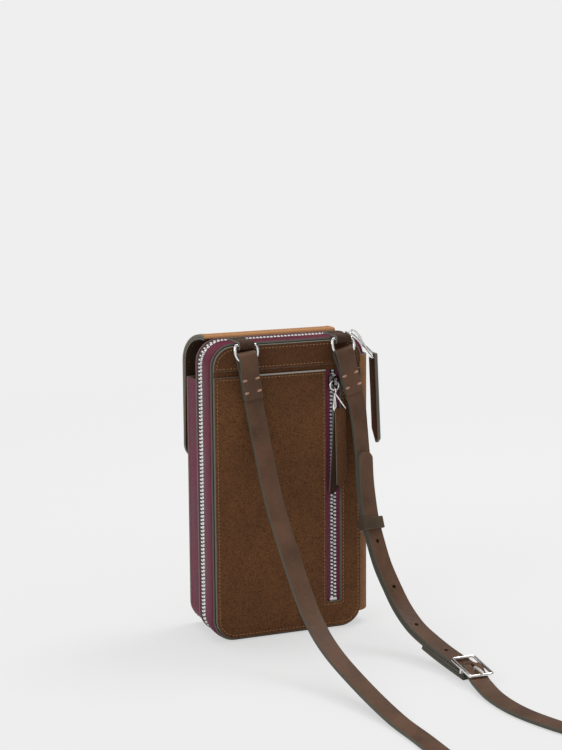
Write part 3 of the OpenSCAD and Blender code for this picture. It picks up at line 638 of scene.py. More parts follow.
def keep_side(obj, z, keep_low):
    start_edit(obj, "SELECT")
    bpy.ops.mesh.bisect(plane_co=(0, 0, z * MM), plane_no=(0, 0, 1), use_fill=True,
                        clear_outer=keep_low, clear_inner=not keep_low)
    end_edit()


def trim(plate, width, body, node):
    soften(plate, width)
    mark_rim(plate, lambda p: abs(p.normal.y) < 0.75)
    dress(plate, panel_leather, body, node)


pocket_panel = body_plate("pocket_panel_hide", BACK_IN, BACK)
keep_side(pocket_panel, 170, True)
slot = block("slot_cutter", (SLOT_X[0], 20, SLOT_LOW), (SLOT_X[1], 30, 175))
round_edges(slot, lambda e: span(e, 0) < 1e-6 and all(abs(v.co.z - SLOT_LOW * MM) < 1e-5 for v in e.verts),
            2.2, 5)
cut_out(pocket_panel, slot)
trim(pocket_panel, 0.45, "back_half", "pocket_panel")

# The slip pocket's free edge is a thin strip in the pale edge colour: a painted highlight where light falls on
# the edge from above.
slip_edge = block("slip_edge_hide", (-25.4, 24.3, 169.5), (24.5, 25.5, 170.5))
soften(slip_edge, 0.3, 2)
dress(slip_edge, painted_highlight_edge, "back_half")

top_band = body_plate("top_band_hide", BACK_IN, BACK)
keep_side(top_band, 173.5, False)
trim(top_band, 0.45, "back_half", "top_band")

# %% [markdown]
# Saddle stitches: one small grain-shaped stitch is modelled once and copied along each seam line. A
# stitch lies half in the hide and leans a little, as a real lock stitch does. All stitches of one
# seam are joined, so a seam is one piece.

# %% One stitch, and a seam of copies
def seed_of(obj):
    seed = ([v.co.copy() for v in obj.data.vertices], [tuple(p.vertices) for p in obj.data.polygons])
    bpy.data.objects.remove(obj, do_unlink=True)
    return seed


def copies(name, seed, places, material, flat=False):
    verts, faces = [], []
    for spot, x, y, z in places:
        base = len(verts)
        verts += [spot + x * v.x + y * v.y + z * v.z for v in seed[0]]
        faces += [tuple(base + i for i in f) for f in seed[1]]
    obj = new_object(name, verts, faces, material, flat=flat)
    start_edit(obj, "SELECT")
    bpy.ops.mesh.normals_make_consistent(inside=False)
    end_edit()
    return obj


bpy.ops.object.select_all(action="DESELECT")
bpy.ops.mesh.primitive_uv_sphere_add(segments=8, ring_count=5, radius=1)
STITCH = seed_of(bpy.context.object)


def along(points, pitch):
    total = sum((b - a).length for a, b in zip(points, points[1:]))
    count = max(1, int(total / pitch))
    step, want, gone, out = total / count, total / count / 2, 0.0, []
    for a, b in zip(points, points[1:]):
        size = (b - a).length
        while size > 0 and want <= gone + size + 1e-9:
            out.append((a.lerp(b, (want - gone) / size), (b - a).normalized()))
            want += step
        gone += size
    return out


def seam(name, lines, normal, material, body, length=1.6, width=0.5, pitch=2.3, lean=9, lift=0.05):
    places = []
    for line in lines:
        for spot, heading in along([Vector(p) for p in line], pitch):
            out = normal(spot) if callable(normal) else Vector(normal)
            side = heading.cross(out).normalized()
            spun = Matrix.Rotation(radians(lean), 3, out)
            places.append(((spot + out * lift) * MM, spun @ side * (width / 2 * MM), out * (width / 2 * MM),
                           spun @ heading * (length / 2 * MM)))
    obj = copies(name, STITCH, places, material)
    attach(obj, body)
    return obj


def arc(cx, cz, r, angles, y):
    return [(x, y, z) for x, z in ring_points(cx, cz, r, angles)]


def u_path(z_end, r, y, cz=CZ, way=-90):
    return [(CX + r, y, z_end)] + arc(CX, cz, r, fan(0, way, 8), y) \
        + arc(-CX, cz, r, fan(way, 2 * way, 8), y) + [(-CX - r, y, z_end)]


IN = 2.1                                             # how far a seam runs from its edge
LEVEL_SEAM, SLOT_SEAM = HALF - IN - 1, (-24.2, -37.5)
seam("back_panel_seam", [u_path(169, CORNER - IN, BACK), u_path(174.4, CORNER - IN, BACK, CT, 90),
                         [(LEVEL_SEAM, BACK, 175.3), (-24, BACK, 175.3)],
                         [(LEVEL_SEAM, BACK, 168.2), (SLOT_SEAM[0], BACK, 168.2), (SLOT_SEAM[0], BACK, 16.4),
                          (SLOT_SEAM[1], BACK, 16.4), (SLOT_SEAM[1], BACK, 168.5)]],
     (0, 1, 0), tan_thread, "back_half")
print("stitches along the back")

# %% [markdown]
# Bands that run round the pouch (gussets, zip tapes) start as one small face, the band's section. The
# face is extruded along the straights and spun round the corners, just as a band is wrapped round.

# %% A section pulled along straights and spun round corners
ZIP_X = -44                                          # centre of the arcs on which the main zip ends


def spin_y(x, z, degrees, steps=12):
    return (x, 0, z), (0, 1, 0), degrees, steps


def spin_x(y, z, degrees, steps):
    return (0, y, z), (1, 0, 0), degrees, steps


def section_run(name, points, moves):
    obj = new_object(name, [Vector(p) * MM for p in points], [tuple(range(len(points)))], tan_thread)
    start_edit(obj, "SELECT")
    for move in moves:
        if len(move) == 3:
            extrude(*move)
        else:
            centre, axis, degrees, steps = move
            bpy.ops.mesh.spin(steps=steps, angle=-radians(degrees), center=Vector(centre) * MM, axis=axis)
    bpy.ops.mesh.select_all(action="SELECT")
    bpy.ops.mesh.remove_doubles(threshold=1e-6)
    bpy.ops.mesh.normals_make_consistent(inside=False)
    end_edit()
    return obj


def band_section(y0, y1, r0, r1, crown=0.0, bevel=0.25, steps=8):
    pts = [(r0, y1), (r0, y0), (r1 - bevel, y0)]
    for s in fan(0, 1, steps):
        pts.append((r1 + crown * (1 - (2 * s - 1) ** 2), y0 + bevel + (y1 - y0 - 2 * bevel) * s))
    pts.append((r1 - bevel, y1))
    return pts


def ring_band(name, section, centre_x, a_top, a_low):
    a = radians(a_top)
    start = [(centre_x - cos(a) * (CORNER + r), y, CT + sin(a) * (CORNER + r)) for r, y in section]
    run = CX - centre_x
    moves = [(run, 0, 0), spin_y(CX, CT, 90), (0, 0, CZ - CT), spin_y(CX, CZ, 90), (-run, 0, 0)]
    if a_top < 90:
        moves.insert(0, spin_y(centre_x, CT, 90 - a_top, 8))
    if a_low < 90:
        moves.append(spin_y(centre_x, CZ, 90 - a_low, 8))
    return section_run(name, start, moves)


gusset = ring_band("back_gusset_hide", band_section(8.8, INNER, 0.4, 1.8, 0.45), -CX, 90, 90)
for z, way, degrees, steps in ((CT, 1, -82, 12), (CZ, -1, 59.5, 10)):
    section = [(-CX, y, z + way * (CORNER + r)) for r, y in band_section(13.25, INNER, 0.4, 1.8, 0.3)]
    merge(gusset, section_run("gusset_corner", section, [spin_y(-CX, z, degrees, steps)]))
smooth_shade(gusset)
mark_rim(gusset, lambda p: abs(p.normal.y) > 0.8)
dress(gusset, burgundy, "back_half", "back_gusset")

ZIP_END = 69.2                                       # degrees round the arc where the front band ends
band = ring_band("front_band_hide", band_section(-1.6, 0.2, 0.4, 1.8, 0.1, 0.2, 4), ZIP_X, ZIP_END, ZIP_END)
smooth_shade(band)
mark_rim(band, lambda p: p.normal.y > 0.8)
dress(band, burgundy, "front_half", "front_band")

for side, y0, y1, a_top in (("back", 7, 12.95, 8), ("front", -1.6, 2.0, ZIP_END)):
    section = band_section(y0, y1, -0.4, 0.4, 0.08, 0.15)
    tape = ring_band("main_tape_" + side + "_cloth", section, ZIP_X, a_top, ZIP_END)
    smooth_shade(tape)
    dress(tape, zip_tape, side + "_half", "main_zip_tape_" + side)

# %% [markdown]
# The zip's arc stands out past the body's corners. A small cloth web closes the crescent between the
# tape and the burgundy corner, so that no light shows through beside the spine.

# %% Corner webs
def crescent(name, z, sign, a_end):
    outer = arc(ZIP_X, z, 13, [180 - sign * a for a in range(a_end, 91, 8)], 13.2)
    inner = arc(-CX, z, 13.6, [180 - sign * a for a in range(90, a_end - 1, -8)], 13.2)
    return section_run(name, outer + inner, [(0, 0.5, 0)])


web_top = merge(crescent("corner_web_cloth", CT, 1, 10), crescent("corner_web_low", CZ, -1, 34))
dress(web_top, burgundy, "back_half", None)

# %% [markdown]
# The phone pocket hangs on the front half: a front plate, a U of burgundy hide round three sides and
# the front panel behind it. The pocket's U is pulled in the same way, open at the top.

# %% Phone pocket, front panel and inner back panel
POCKET_TOP = 164
pocket_u = section_run("pocket_gusset_hide",
                       [(-HALF - r, y, POCKET_TOP) for r, y in band_section(-23.55, -3.0, -1.4, 0, 0.35)],
                       [(0, 0, CZ - POCKET_TOP), spin_y(-CX, CZ, -90), (2 * CX, 0, 0), spin_y(CX, CZ, -90),
                        (0, 0, POCKET_TOP - CZ)])
smooth_shade(pocket_u)
mark_rim(pocket_u, lambda p: p.normal.z > 0.8 and p.center.z > 0.16)
dress(pocket_u, burgundy, "front_half", "phone_pocket_gusset")

front_panel = rounded_plate("front_panel_hide", (-50, -3.0, 0), (51.8, -1.6, 190.8), {
    (51.8, 0): 14.8, (51.8, 190.8): 14.8, (-50, 0): 6.5, (-50, 190.8): 6.5})
trim(front_panel, 0.4, "front_half", "front_panel")

pocket_front = body_plate("pocket_front_hide", FRONT, FRONT_IN, (LOW,))
keep_side(pocket_front, POCKET_TOP, True)
trim(pocket_front, 0.5, "front_half", "phone_pocket_front")

inner_back = body_plate("inner_back_hide", INNER, BACK_IN)
cut_out(inner_back, block("inner_slot_cutter", (SLOT_X[0], 20, SLOT_LOW), (SLOT_X[1], 30, 170)))
cut_out(inner_back, block("slip_recess_cutter", (-20.4, 23.29, 6), (44, 26, 167.5)))
trim(inner_back, 0.3, "back_half", "back_panel")

# %% [markdown]
# The spine is the leather hinge between the halves: a half round shell with two short flanges. Its
# section is drawn once and extruded upward.

# %% Spine
SX, SY, SR, ST = -47.625, 10.575, 11.875, 1.6        # the shell's centre, outer radius and thickness
shell = [(SX + 2, SY + SR)] + ring_points(SX, SY, SR, range(90, 271, 9)) \
    + [(SX + 2, SY - SR), (SX + 2, SY - SR + ST)] + ring_points(SX, SY, SR - ST, range(270, 89, -9)) \
    + [(SX + 2, SY + SR - ST)]
spine = section_run("spine_hide", [(x, y, 8.5) for x, y in shell], [(0, 0, 169)])
soften(spine, 0.35, angle=50)
mark_rim(spine, lambda p: abs(p.normal.z) > 0.5)
# The spine takes the lighter copy of the hide: painted light on its lit side.
dress(spine, painted_lit_leather, "back_half", "spine")

# %% [markdown]
# The flap is two hides glued back to back. Each is a strip pulled up the front, spun over the bend
# and run back to the hinge; it narrows toward the seam, and its lower corners are bevelled round.

# %% Flap and its lining
BEND_Y, BEND_Z, FLAP_LOW = -11.05, 173.5, 108.5      # axis of the bend over the top, and the free edge
BEND_R, FLAP_HALF, NARROWING = 19, 51, 6


def flap_half(y):
    return FLAP_HALF - NARROWING * min(max((y + BEND_R - BEND_Y) / BEND_R, 0), 1)


def flap_sheet(name, y_out, y_in, last):
    ends = [(-FLAP_HALF, y_out), (FLAP_HALF, y_out), (FLAP_HALF, y_in), (-FLAP_HALF, y_in)]
    sheet = section_run(name, [(x, y, FLAP_LOW) for x, y in ends],
                        [(0, 0, BEND_Z - FLAP_LOW), spin_x(BEND_Y, BEND_Z, -90, 14), (0, -5 - BEND_Y, 0)] + last)
    start_edit(sheet)
    pick(sheet, "EDGE", lambda e: all(v.co.z < (FLAP_LOW + 0.1) * MM for v in e.verts) and span(e, 0) < 1e-6)
    bevel_picked(10, 9)
    for v in bmesh.from_edit_mesh(sheet.data).verts:
        if v.co.z > BEND_Z * MM:
            v.co.x *= flap_half(v.co.y / MM) / FLAP_HALF
    bmesh.update_edit_mesh(sheet.data)
    end_edit()
    soften(sheet, 0.45, angle=40)
    return sheet


def flap_normal(spot):
    if spot.z <= BEND_Z:
        return Vector((0, -1, 0))
    return Vector((0, spot.y - BEND_Y, spot.z - BEND_Z)).normalized() if spot.y < BEND_Y else Vector((0, 0, 1))


flap_hide = flap_sheet("flap_hide", -30.05, -28.05, [spin_x(-5, 190.5, -90, 6)])
flap_inside = flap_sheet("flap_lining_hide", -28.05, -26.65, [])
# The flap's outer hide is the lighter copy with painted light; the lining keeps its own dark hide.
for sheet, material, node in ((flap_hide, painted_lit_flap_leather, "flap"), (flap_inside, lining_and_shade_leather, "flap_lining")):
    mark_rim(sheet, lambda p: p.center.y < -0.0055 and abs(p.normal.dot(flap_normal(p.center / MM))) < 0.75)
    dress(sheet, material, "flap", node)

# %% [markdown]
# The tabs that hold the rings are narrow strips: from the top of the gusset back over the edge, then
# rolled round the ring's bar.

# %% Ring tabs
RING_X = {"left": 29.8, "right": -35.9}
RING_Y, RING_Z = 28.25, 189.6                        # the bar on which both rings swing
for side, x in RING_X.items():
    ends = [(x - 5, 190.8), (x + 5, 190.8), (x + 5, 192.4), (x - 5, 192.4)]
    tab = section_run("tab_" + side + "_hide", [(tx, 8.8, tz) for tx, tz in ends],
                      [(0, RING_Y - 8.8, 0), spin_x(RING_Y, RING_Z, -290, 22)])
    soften(tab, 0.35, angle=50)
    mark_rim(tab, lambda p: abs(p.normal.x) > 0.6)
    dress(tab, tab_leather, "back_half", "tab_" + side)

# %% [markdown]
# Each strap end is one layer that goes up, round the ring's low bar and down again. It is swept along
# that loop, then turned about the ring to lean with the pull of the strap.

# %% Strap ends and their thick stitches
def ribbon_frames(points, w):
    out = []
    for i, p in enumerate(points):
        before, after = neighbours(points, i)
        t = (Vector(after) - Vector(before)).normalized()
        out.append((Vector(p) * MM, w, t, w.cross(t)))
    return out


leg = [(1.1, -26.4 + 3 * i) for i in range(6)] + [(1.35, -9), (2.1, -5), (2.75, -2.2)]
end_path = [(0, y, z) for y, z in leg + ring_points(0, 0, 3, range(0, 181, 20)) + [(-y, z) for y, z in leg[::-1]]]
end_frames = ribbon_frames(end_path, Vector((1, 0, 0)))
knot_lines = [[(x - 1.8, 2.2, -d), (x + 1.8, 2.2, -d)] for d in (13.5, 21.5) for x in (-4.2, 4.2)]
for side, lean, up in (("left", 9, 3.3), ("right", 16, 1.7)):
    at = shift(RING_X[side], 30.68, 179.08) @ turned(lean, "Y") @ shift(0, 0, up)
    end = sweep("strap_end_" + side + "_hide", end_frames, flat_section(STRAP_W, 2.18, 0.5), strap_hide)
    end.data.transform(at)
    smooth_shade(end, 50)
    dress(end, strap_hide, "ring_" + side, "strap_end_" + side)
    knots = seam("strap_knots_" + side, knot_lines, (0, 1, 0), copper_thread, "ring_" + side,
                 length=3.2, width=1.7, pitch=3.6, lean=4, lift=0.0)
    knots.data.transform(at)
    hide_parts("strap_stitches_" + side)
print("strap ends ready")

# %% [markdown]
# The main zip is a metal chain: teeth are clamped to the tape's edge, and each has a small head that
# sits between two teeth of the other row. One tooth is shaped from a cube, then set along the path.

# %% Zip teeth
def one_tooth(along_path, across, high, nub):
    corner = Vector((along_path, across, high)) / 2
    tooth = block("tooth_seed", -corner, corner)
    start_edit(tooth)
    pick(tooth, "FACE", lambda f: f.normal.y < -0.9)
    bpy.ops.mesh.inset(thickness=0.16 * MM, depth=0)
    bpy.ops.transform.resize(value=(0.8, 1, 0.5))
    extrude(0, -nub, 0)
    bpy.ops.transform.resize(value=(0.8, 1, 0.85))
    end_edit()
    with_modifier(tooth, "BEVEL", width=0.14 * MM, segments=1, limit_method="ANGLE", angle_limit=radians(50))
    return seed_of(tooth)


RUN, TURN, SIDE, PITCH = CX - ZIP_X, pi * CORNER / 2, CT - CZ, 2.4


def path_at(s):
    def bend(cx, cz, start, gone):
        a = radians(start) - gone / CORNER
        return cx + CORNER * cos(a), cz + CORNER * sin(a), a - pi / 2
    if s < 0:
        return bend(ZIP_X, CT, 90, s)
    if s < RUN:
        return ZIP_X + s, TOP, 0
    if s < RUN + TURN:
        return bend(CX, CT, 90, s - RUN)
    if s < RUN + TURN + SIDE:
        return HALF, CT - (s - RUN - TURN), -pi / 2
    if s < RUN + 2 * TURN + SIDE:
        return bend(CX, CZ, 0, s - RUN - TURN - SIDE)
    return CX - (s - RUN - 2 * TURN - SIDE), LOW, -pi


def chain(offset, y, side):
    out = []
    for i in range(-1, 151):
        x, z, a = path_at((i + offset) * PITCH)
        out.append((Vector((x, y, z)) * MM, Vector((cos(a), 0, sin(a))), Vector((0, -side, 0)),
                    Vector((-sin(a), 0, cos(a)))))
    return out


tooth = one_tooth(0.95, 2.5, 3.1, 0.75)
for half, offset, y, side in (("back", 0.75, 6.2, -1), ("front", 0.25, 2.8, 1)):
    row = copies("main_teeth_" + half + "_metal", tooth, chain(offset, y, side), tooth_metal, True)
    dress(row, tooth_metal, half + "_half", "main_zip_teeth_" + half)

BACK_ZIP_X, BACK_ZIP_Y = -31.4, 22.05
tooth = one_tooth(1.15, 1.55, 2.7, 0.05)
for side, name, offset in ((1, "left", 0.0), (-1, "right", 0.5)):
    places = [(Vector((BACK_ZIP_X + side * 1.15, BACK_ZIP_Y, 20.7 + (i + offset) * PITCH)) * MM,
               Vector((0, 0, 1)), Vector((side, 0, 0)), Vector((0, 1, 0))) for i in range(61)]
    row = copies("back_teeth_" + name + "_metal", tooth, places, tooth_metal, True)
    dress(row, tooth_metal, "back_half", "back_zip_teeth_" + name)
    near, far = sorted((BACK_ZIP_X + side * 1.9, BACK_ZIP_X + side * 12))
    # The back tapes take the brighter tape: painted light against the slot's shade.
    tape = block("back_tape_" + name + "_cloth", (near, 21.7, 18), (far, 22.4, 170))
    dress(tape, painted_lit_tape, "back_half", "back_zip_tape_" + name)
stops = block("back_stop_metal", (-33.9, 20.9, 18), (-28.9, 23.3, 20))
merge(stops, *[block("top_stop", (-32.2, 21.2, z), (-30.6, 23.5, z + 1.1)) for z in (166.5, 168.5, 170.5)])
soften(stops, 0.4)
dress(stops, tooth_metal, "back_half", "back_zip_stops")

# %% [markdown]
# Wires (rings, bails, the buckle) start as a curve with a round bevel that is converted to a mesh:
# the quickest way to a clean tube of even thickness round tight corners.

# %% Wires from curves
def wire(name, points, radius, closed=False, resolution=4):
    data = bpy.data.curves.new(name, "CURVE")
    data.dimensions, data.use_fill_caps = "3D", True
    data.bevel_depth, data.bevel_resolution = radius * MM, resolution
    line = data.splines.new("POLY")
    line.points.add(len(points) - 1)
    for p, q in zip(line.points, points):
        p.co = (*[v * MM for v in q], 1)
    line.use_cyclic_u = closed
    select_only(add(name, data))
    bpy.ops.object.convert(target="MESH")
    smooth_shade(bpy.context.object, 60)
    return bpy.context.object


RING_R, BAR_DROP = 7.4, 3.4
shoulder = [(RING_R, 0, 0.8 - BAR_DROP), (RING_R - 0.2, 0, -0.9), (RING_R - 0.9, 0, 0.3),
            (RING_R - 2.0, 0, 0.5), (RING_R - 2.6, 0, 0)]
d_shape = arc(0, -BAR_DROP, RING_R, range(180, 361, 12), 0) + shoulder + [(0, 0, 0)] \
    + [(-x, y, z) for x, y, z in shoulder[::-1]]
for side, x in RING_X.items():
    ring = wire("d_ring_" + side + "_wire", d_shape, 1.02, True, 6)
    ring.data.transform(shift(x, RING_Y, RING_Z) @ turned(13, "X"))
    dress(ring, nickel, "ring_" + side, "d_ring_" + side)

# %% [markdown]
# The main slider is two curved plates with turned-in lips, joined by a web, with an arched bridge on
# top. Its section is spun round the corner's centre, since it rides on the corner arc.

# %% Main slider and its pull
ZIP_Y = 4.5                                          # the main zip's middle plane


def polar(r, a, y=0):
    return ZIP_X - (CORNER + r) * cos(radians(a)), ZIP_Y + y, CT + (CORNER + r) * sin(radians(a))


def arc_part(name, section, a0, a1, steps):
    return section_run(name, [polar(r, a0, y) for y, r in section], [spin_y(ZIP_X, CT, a1 - a0, steps)])


lipped = [(-4, 0.75), (-4, 2.5), (-3.3, 3.0), (3.3, 3.0), (4, 2.5), (4, 0.75), (3.1, 0.75), (3.1, 1.8),
          (-3.1, 1.8), (-3.1, 0.75)]
slider = arc_part("main_slider_metal", lipped, 18, 66, 10)
under = arc_part("slider_under", [(y, -r) for y, r in lipped], 18, 66, 10)
web = arc_part("slider_web", [(-0.3, -2), (-0.3, 2), (0.3, 2), (0.3, -2)], 18, 26, 3)
arch = [(2.6, 25), (4.4, 25.6), (5.1, 28), (5.3, 34), (5.3, 50), (5.1, 56), (4.4, 58.4), (2.6, 59)]
bridge = sweep("slider_bridge", ribbon_frames([polar(r, a) for r, a in arch], Vector((0, 1, 0))),
               flat_section(2.4, 1.2, 0.3), nickel)
merge(slider, under, web, bridge)
soften(slider, 0.22, 2, 50)
dress(slider, nickel, "main_slider", "main_slider")

stop = arc_part("main_stop_metal", [(0.45, -1.5), (0.45, 1.5), (2.5, 1.5), (2.5, -1.5)], 11.5, 15.5, 3)
soften(stop, 0.3)
dress(stop, nickel, "back_half", "main_zip_stop")

PIN, HANG, CAP_LOW = (-58.009, ZIP_Y, 185.272), 40, -16.5   # the pull's pin, its slant, the cap's foot
eye = [(0, 1.6, 0), (0, 1.85, -0.6), (0, 2.1, -5.5), (0, 2.0, -6.6)]
puller = wire("main_puller_metal", [(x, -y, z) for x, y, z in eye] + eye[::-1], 0.6, True)
cap = block("puller_cap", (-1.5, -3, CAP_LOW), (1.5, 3, -6))
resize_face(cap, lambda f: f.normal.z > 0.9, (0.62, 0.72, 1))
soften(cap, 0.7, 4)
merge(puller, cap)
smooth_shade(puller, 60)
puller.data.transform(shift(*PIN) @ turned(HANG, "Y"))
dress(puller, nickel, "main_pull", "main_puller")


def tongue(name, width, thick, length, slant, top):
    pts = [(-width / 2, top), (width / 2, top), (width / 2, -length), (width * 0.1, -length - slant * 0.5),
           (-width / 2, -length + slant)]
    piece = section_run(name, [(x, -thick / 2, z) for x, z in pts], [(0, thick, 0)])
    soften(piece, 0.4, 3)
    return piece


pull = tongue("main_pull_hide", 9, 2.4, 54, 6, 3)
mark_rim(pull, lambda p: abs(p.normal.y) < 0.75)
pull.data.transform(shift(*PIN) @ shift(CAP_LOW * sin(radians(HANG)), 0, CAP_LOW * cos(radians(HANG)))
                    @ turned(2.5, "Y") @ turned(90, "Z"))
dress(pull, panel_leather, "main_pull", "main_pull_leather")

# %% [markdown]
# The back slider is straight. Its bridge carries a small ring, the ring a wire bail with two spread
# legs, and a narrow strip of hide is folded over the bail's bar with one tail longer.

# %% Back slider, ring, bail and folded pull
cx, cy = BACK_ZIP_X, BACK_ZIP_Y
slider = block("back_slider_metal", (cx - 3.0, cy + 1.75, 157.6), (cx + 3.0, cy + 3.0, 165.6))
resize_face(slider, lambda f: f.normal.z < -0.9, (0.82, 1, 1))
under = block("back_slider_under", (cx - 4, cy - 3.0, 158), (cx + 4, cy - 1.75, 169))
web = block("back_slider_web", (cx - 0.3, cy - 2, 163.8), (cx + 0.3, cy + 2, 165.4))
lips = [block("lip", (x - 0.4, y - 0.9, 158.2), (x + 0.4, y + 0.9, 165.6))
        for x in (cx - 2.75, cx + 2.75) for y in (cy - 1.6, cy + 1.6)]
arch = [(2.6, 159.9), (4.8, 160.05), (5.6, 160.8), (5.7, 162.3), (5.6, 163.9), (4.8, 164.7), (2.6, 164.9)]
bridge = sweep("back_slider_arch", ribbon_frames([(cx, cy + y, z) for y, z in arch], Vector((1, 0, 0))),
               flat_section(2.2, 1.1, 0.3), nickel)
merge(slider, under, web, bridge, *lips)
soften(slider, 0.25, 2, 50)
dress(slider, dark_nickel, "back_slider", "back_slider")

PULL_X = -30.8
link = wire("back_ring_wire", arc(0, -3, 3, range(0, 360, 15), 0), 0.6, True, 5)
link.data.transform(shift(PULL_X, 26.1, 162.95) @ turned(12, "X"))
dress(link, nickel, "back_ring", "back_pull_ring")

eye = ring_points(27.35, 157.0, 1.45, range(0, 360, 30))
legs = [(0, 27.4, 155.7), (0.5, 27.5, 153.5), (1.0, 27.55, 145.2), (0.6, 27.55, 144.2), (-6.9, 27.55, 144.2),
        (-7.3, 27.55, 145.2), (-0.9, 27.5, 154.0)]
slot_leg = [(0.1, 27.6, 154.0), (1.3, 27.6, 147.0), (0.6, 27.6, 144.6), (-0.6, 27.6, 146.6)]
bail = wire("back_bail_wire", [(PULL_X, y, z) for y, z in eye], 0.6, True)
merge(bail, *[wire("bail_legs", [(PULL_X + x, y, z) for x, y, z in bent], radius, True)
              for bent, radius in ((legs, 0.65), (slot_leg, 0.6))])
dress(bail, nickel, "back_pull", "back_pull_bail")

front_tail = tongue("back_pull_hide", 7.2, 1.15, 48, 5, -0.6)
rear_tail = tongue("back_pull_rear", 7.0, 1.15, 53, 4, -0.6)
front_tail.data.transform(shift(0, 0.85, 0) @ turned(1.2, "Y"))
rear_tail.data.transform(shift(0.5, -0.5, 0) @ turned(-3.4, "Y"))
ends = [(-3.6, 1.42), (3.6, 1.42), (3.6, 0.3), (-3.6, 0.3)]
fold = section_run("back_pull_fold", [(x, y, -1.2) for x, y in ends],
                   [(0, 0, 1.2), spin_x(0.17, 0, 180, 10), (0, 0, -1.4)])
soften(fold, 0.2, 2)
merge(front_tail, fold)
# The rear tail takes the dark lining hide as painted shade: it hangs in shadow behind the front tail.
for tail, material, node in ((front_tail, tail_leather, "back_pull_leather"),
                             (rear_tail, lining_and_shade_leather, None)):
    tail.data.transform(shift(-34.0, 27.55, 144.1))
    mark_rim(tail, lambda p: abs(p.normal.x) > 0.7)
    dress(tail, material, "back_pull", node)

# %% [markdown]
# Strap hardware: a wire buckle with a centre bar and a prong, and a keeper loop that slides. They are
# drawn flat and laid on the strap by the strap's own frame at that step of its route.

# %% Buckle, prong, keeper, holes and the rounded tip
def lay_on(index, drop):
    here = hole_route[index]
    w, t, u = side_frame(*neighbours(hole_route, index), here[3])
    spot = (Vector(here[:3]) - u * drop) * MM
    return Matrix.Translation(spot) @ Matrix((w, t, u)).transposed().to_4x4()


at_buckle = lay_on(1, 0.6)
outline = [(x, y, 2.75 + (y + 11.6) * 0.02) for x, y in rounded_outline(15, 23.2, 1.5, 6)]
buckle = wire("buckle_wire", outline, 1.0, True, 5)
merge(buckle, wire("buckle_bar", [(-7.5, 0, 2.9), (-7.5, 0, 0), (7.5, 0, 0), (7.5, 0, 2.9)], 0.8))
buckle.data.transform(at_buckle)
dress(buckle, nickel, "back_half", "buckle_frame")

prong = wire("prong_wire", [(0, -1.6, 0.4), (0, -2.3, 2.9), (0, -3.4, 3.95), (0, -8, 4.6),
                            (0, -12.3, 4.7)], 0.85)
collar = wire("prong_collar", [(-1.2, 0, 0), (1.2, 0, 0)], 1.85, resolution=6)
cut_out(collar, block("collar_cutter", (-3, -0.9, -0.9), (3, 0.9, 0.9)))
merge(prong, collar)
prong.data.transform(at_buckle)
dress(prong, bright_nickel, "prong", "buckle_prong")

keeper = block("keeper_hide", (-8.1, -3.75, -4.3), (8.1, 3.75, 4.3))
round_edges(keeper, lambda e: span(e, 1) > 0.001, 1.6, 4)
cut_out(keeper, block("keeper_cutter", (-6.75, -5, -2.95), (6.75, 5, 2.95)))
soften(keeper, 0.3, 2, 50)
mark_rim(keeper, lambda p: abs(p.normal.y) > 0.5)
keeper.data.transform(lay_on(9, 1.15) @ shift(0, -2.5, 0))
dress(keeper, keeper_leather, "keeper", "sliding_keeper")

for index in (2, 4, 6, 8):
    bpy.ops.object.select_all(action="DESELECT")
    bpy.ops.mesh.primitive_cylinder_add(vertices=20, radius=1.35 * MM, depth=3.4 * MM)
    punch = bpy.context.object
    punch.data.transform(lay_on(index, 0))
    cut_out(strap_long, punch)
for strap, drop in ((strap_long, 0), (strap_short, LAYER)):
    punch = block("prong_slot_cutter", (-1.15, -4.4, -1.7), (1.15, 5.6, 3.9 - drop))
    punch.data.transform(lay_on(1, drop))
    cut_out(strap, punch)
    smooth_shade(strap, 50)
    print(strap.name, "faces:", len(strap.data.polygons))

# %% [markdown]
# The strap's two runs meet at the buckle; the length of each along its route is measured.

run_length(long_frames)
run_length(short_frames)

# %% [markdown]
# Inside: four stepped card pockets on the front panel, as plain sheets of cloth, and the cloth bag
# behind the back zip. The bag is a box whose face toward the zip is inset and pushed in, so that it is
# open there.

# %% Card pockets and the zip pocket's bag
CARD_STEPS = [(0.8 * (4 - i) - 1.6, 14 + 36 * (i + 1)) for i in range(4)]   # y and top of each sheet
sheets = [block("card_pocket_cloth", (-41, -1.6, 14), (41, y, top)) for y, top in CARD_STEPS]
pockets = merge(*sheets)
soften(pockets, 0.2, 2)
dress(pockets, lining_cloth, "front_half", "card_pockets")

bag = block("zip_bag_cloth", (-44, 17.85, 12), (40, 22.44, 176))
start_edit(bag)
pick(bag, "FACE", lambda f: f.normal.y > 0.9)
bpy.ops.mesh.inset(thickness=0.8 * MM, depth=0)
extrude(0, -3.8, 0)
pick(bag, "EDGE", lambda e: span(e, 1) > 0.004)
bevel_picked(1.5, 3)
end_edit()
smooth_shade(bag)
dress(bag, lining_cloth, "back_half", "zip_pocket_bag")

# %% [markdown]
# Seams over the rest: round the flap inside and out, round the phone pocket, along the burgundy U,
# down both sides of the spine, across the tabs and along the card pockets. Each runs a set distance
# from its edge.

# %% Seams of the flap, pocket, gussets, spine, tabs and card pockets
def flap_line(depth, inset):
    r = BEND_R - depth
    side = arc(41, FLAP_LOW + 10, 10 - inset, range(-90, 1, 15), BEND_Y - r)
    side += [(FLAP_HALF - inset, BEND_Y - r, z) for z in range(120, 174, 6)]
    for y, z in ring_points(BEND_Y, BEND_Z, r, range(180, 89, -10)):
        side.append((flap_half(y) - inset, y, z))
    last = (FLAP_HALF - NARROWING - inset, -8, BEND_Z + r)
    side.append(last)
    left = [(-x, y, z) for x, y, z in side[::-1]]
    return [left + side, [last, left[0]]]


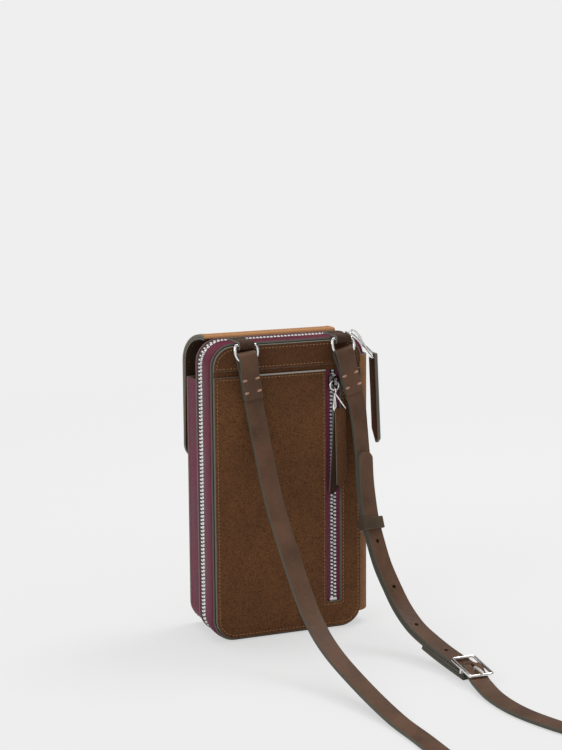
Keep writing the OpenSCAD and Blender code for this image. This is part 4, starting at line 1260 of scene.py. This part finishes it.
seam("flap_seam", flap_line(0, 2.4), flap_normal, tan_thread, "flap")
seam("flap_inner_seam", flap_line(3.4, 2.4), lambda p: -flap_normal(p), dark_thread, "flap")
seam("pocket_front_seam", [u_path(162, CORNER - IN, FRONT),
                           [(LEVEL_SEAM, FRONT, 161.6), (-LEVEL_SEAM, FRONT, 161.6)]],
     (0, -1, 0), tan_thread, "front_half")


def u_normal(spot):
    return Vector((spot.x - max(-CX, min(CX, spot.x)), 0, spot.z - max(CZ, spot.z))).normalized()


for name, y, thick in (("pocket_gusset_seam", -21.2, 0.2), ("pocket_gusset_rear_seam", -6.0, 0.3)):
    seam(name, [u_path(162, CORNER + thick, y)[::-1]], u_normal, wine_thread, "front_half")
for name, y, out in (("spine_back_seam", INNER, 1), ("spine_front_seam", -1.3, -1)):
    seam(name, [[(-48.9, y, 11), (-48.9, y, 175)]], (0, out, 0), dark_thread, "back_half")
for side, x in RING_X.items():
    seam("tab_" + side + "_seam", [[(x - 3.9, y, 192.4), (x + 3.9, y, 192.4)] for y in (11, 22.4)],
         (0, 0, 1), tan_thread, "back_half")
seam("card_pocket_seam", [[(-39.5, y, top - 2.5), (39.5, y, top - 2.5)] for y, top in CARD_STEPS],
     (0, 1, 0), wine_thread, "front_half")

# %% [markdown]
# Two small hides close the spine: a rounded plate at its foot and one behind the slider at its top.
# A narrow fold joins the spine to the front half. It is the soft hinge.

# %% Spine ends and the hinge fold
def spine_plate(name, start, z0, z1):
    rim = ring_points(SX, SY, 10.2, range(180 + start, 89, -9))
    rim += [(-CX, SY + 10.2), (-CX, rim[0][1])]
    return section_run(name, [(x, y, z0) for x, y in rim], [(0, 0, z1 - z0)])


ends = merge(spine_plate("spine_ends_hide", 90, 8.6, 9.6),
             spine_plate("spine_top_plate", 7, 176.2, 177.2))
dress(ends, burgundy, "back_half", None)

FOLD = [(-53.4, 0.1), (-52.6, -0.35), (-51.9, -0.85), (-51.35, -1.45), (-51.0, -2.1), (-50.8, -2.9),
        (-50.75, -4.2), (-50.75, -6.2)]
fold_in = [(x + 0.35, y + 0.3) for x, y in FOLD]
hinge_fold = section_run("hinge_fold_hide", [(x, y, 9) for x, y in FOLD + fold_in[::-1]], [(0, 0, 28)] * 6)
smooth_shade(hinge_fold, 60)
mark_rim(hinge_fold, lambda p: abs(p.normal.z) > 0.5)
# The hinge fold takes the lighter copy of the hide: painted light.
dress(hinge_fold, painted_lit_leather, None)
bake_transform(hinge_fold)
seam("hinge_fold_seam", [[(-50.75, -5.0, 12), (-50.75, -5.0, 174)]], (-1, 0, 0), tan_thread, "front_half")

# %% [markdown]
# Last, the script closes.

# %% Close
print("done")
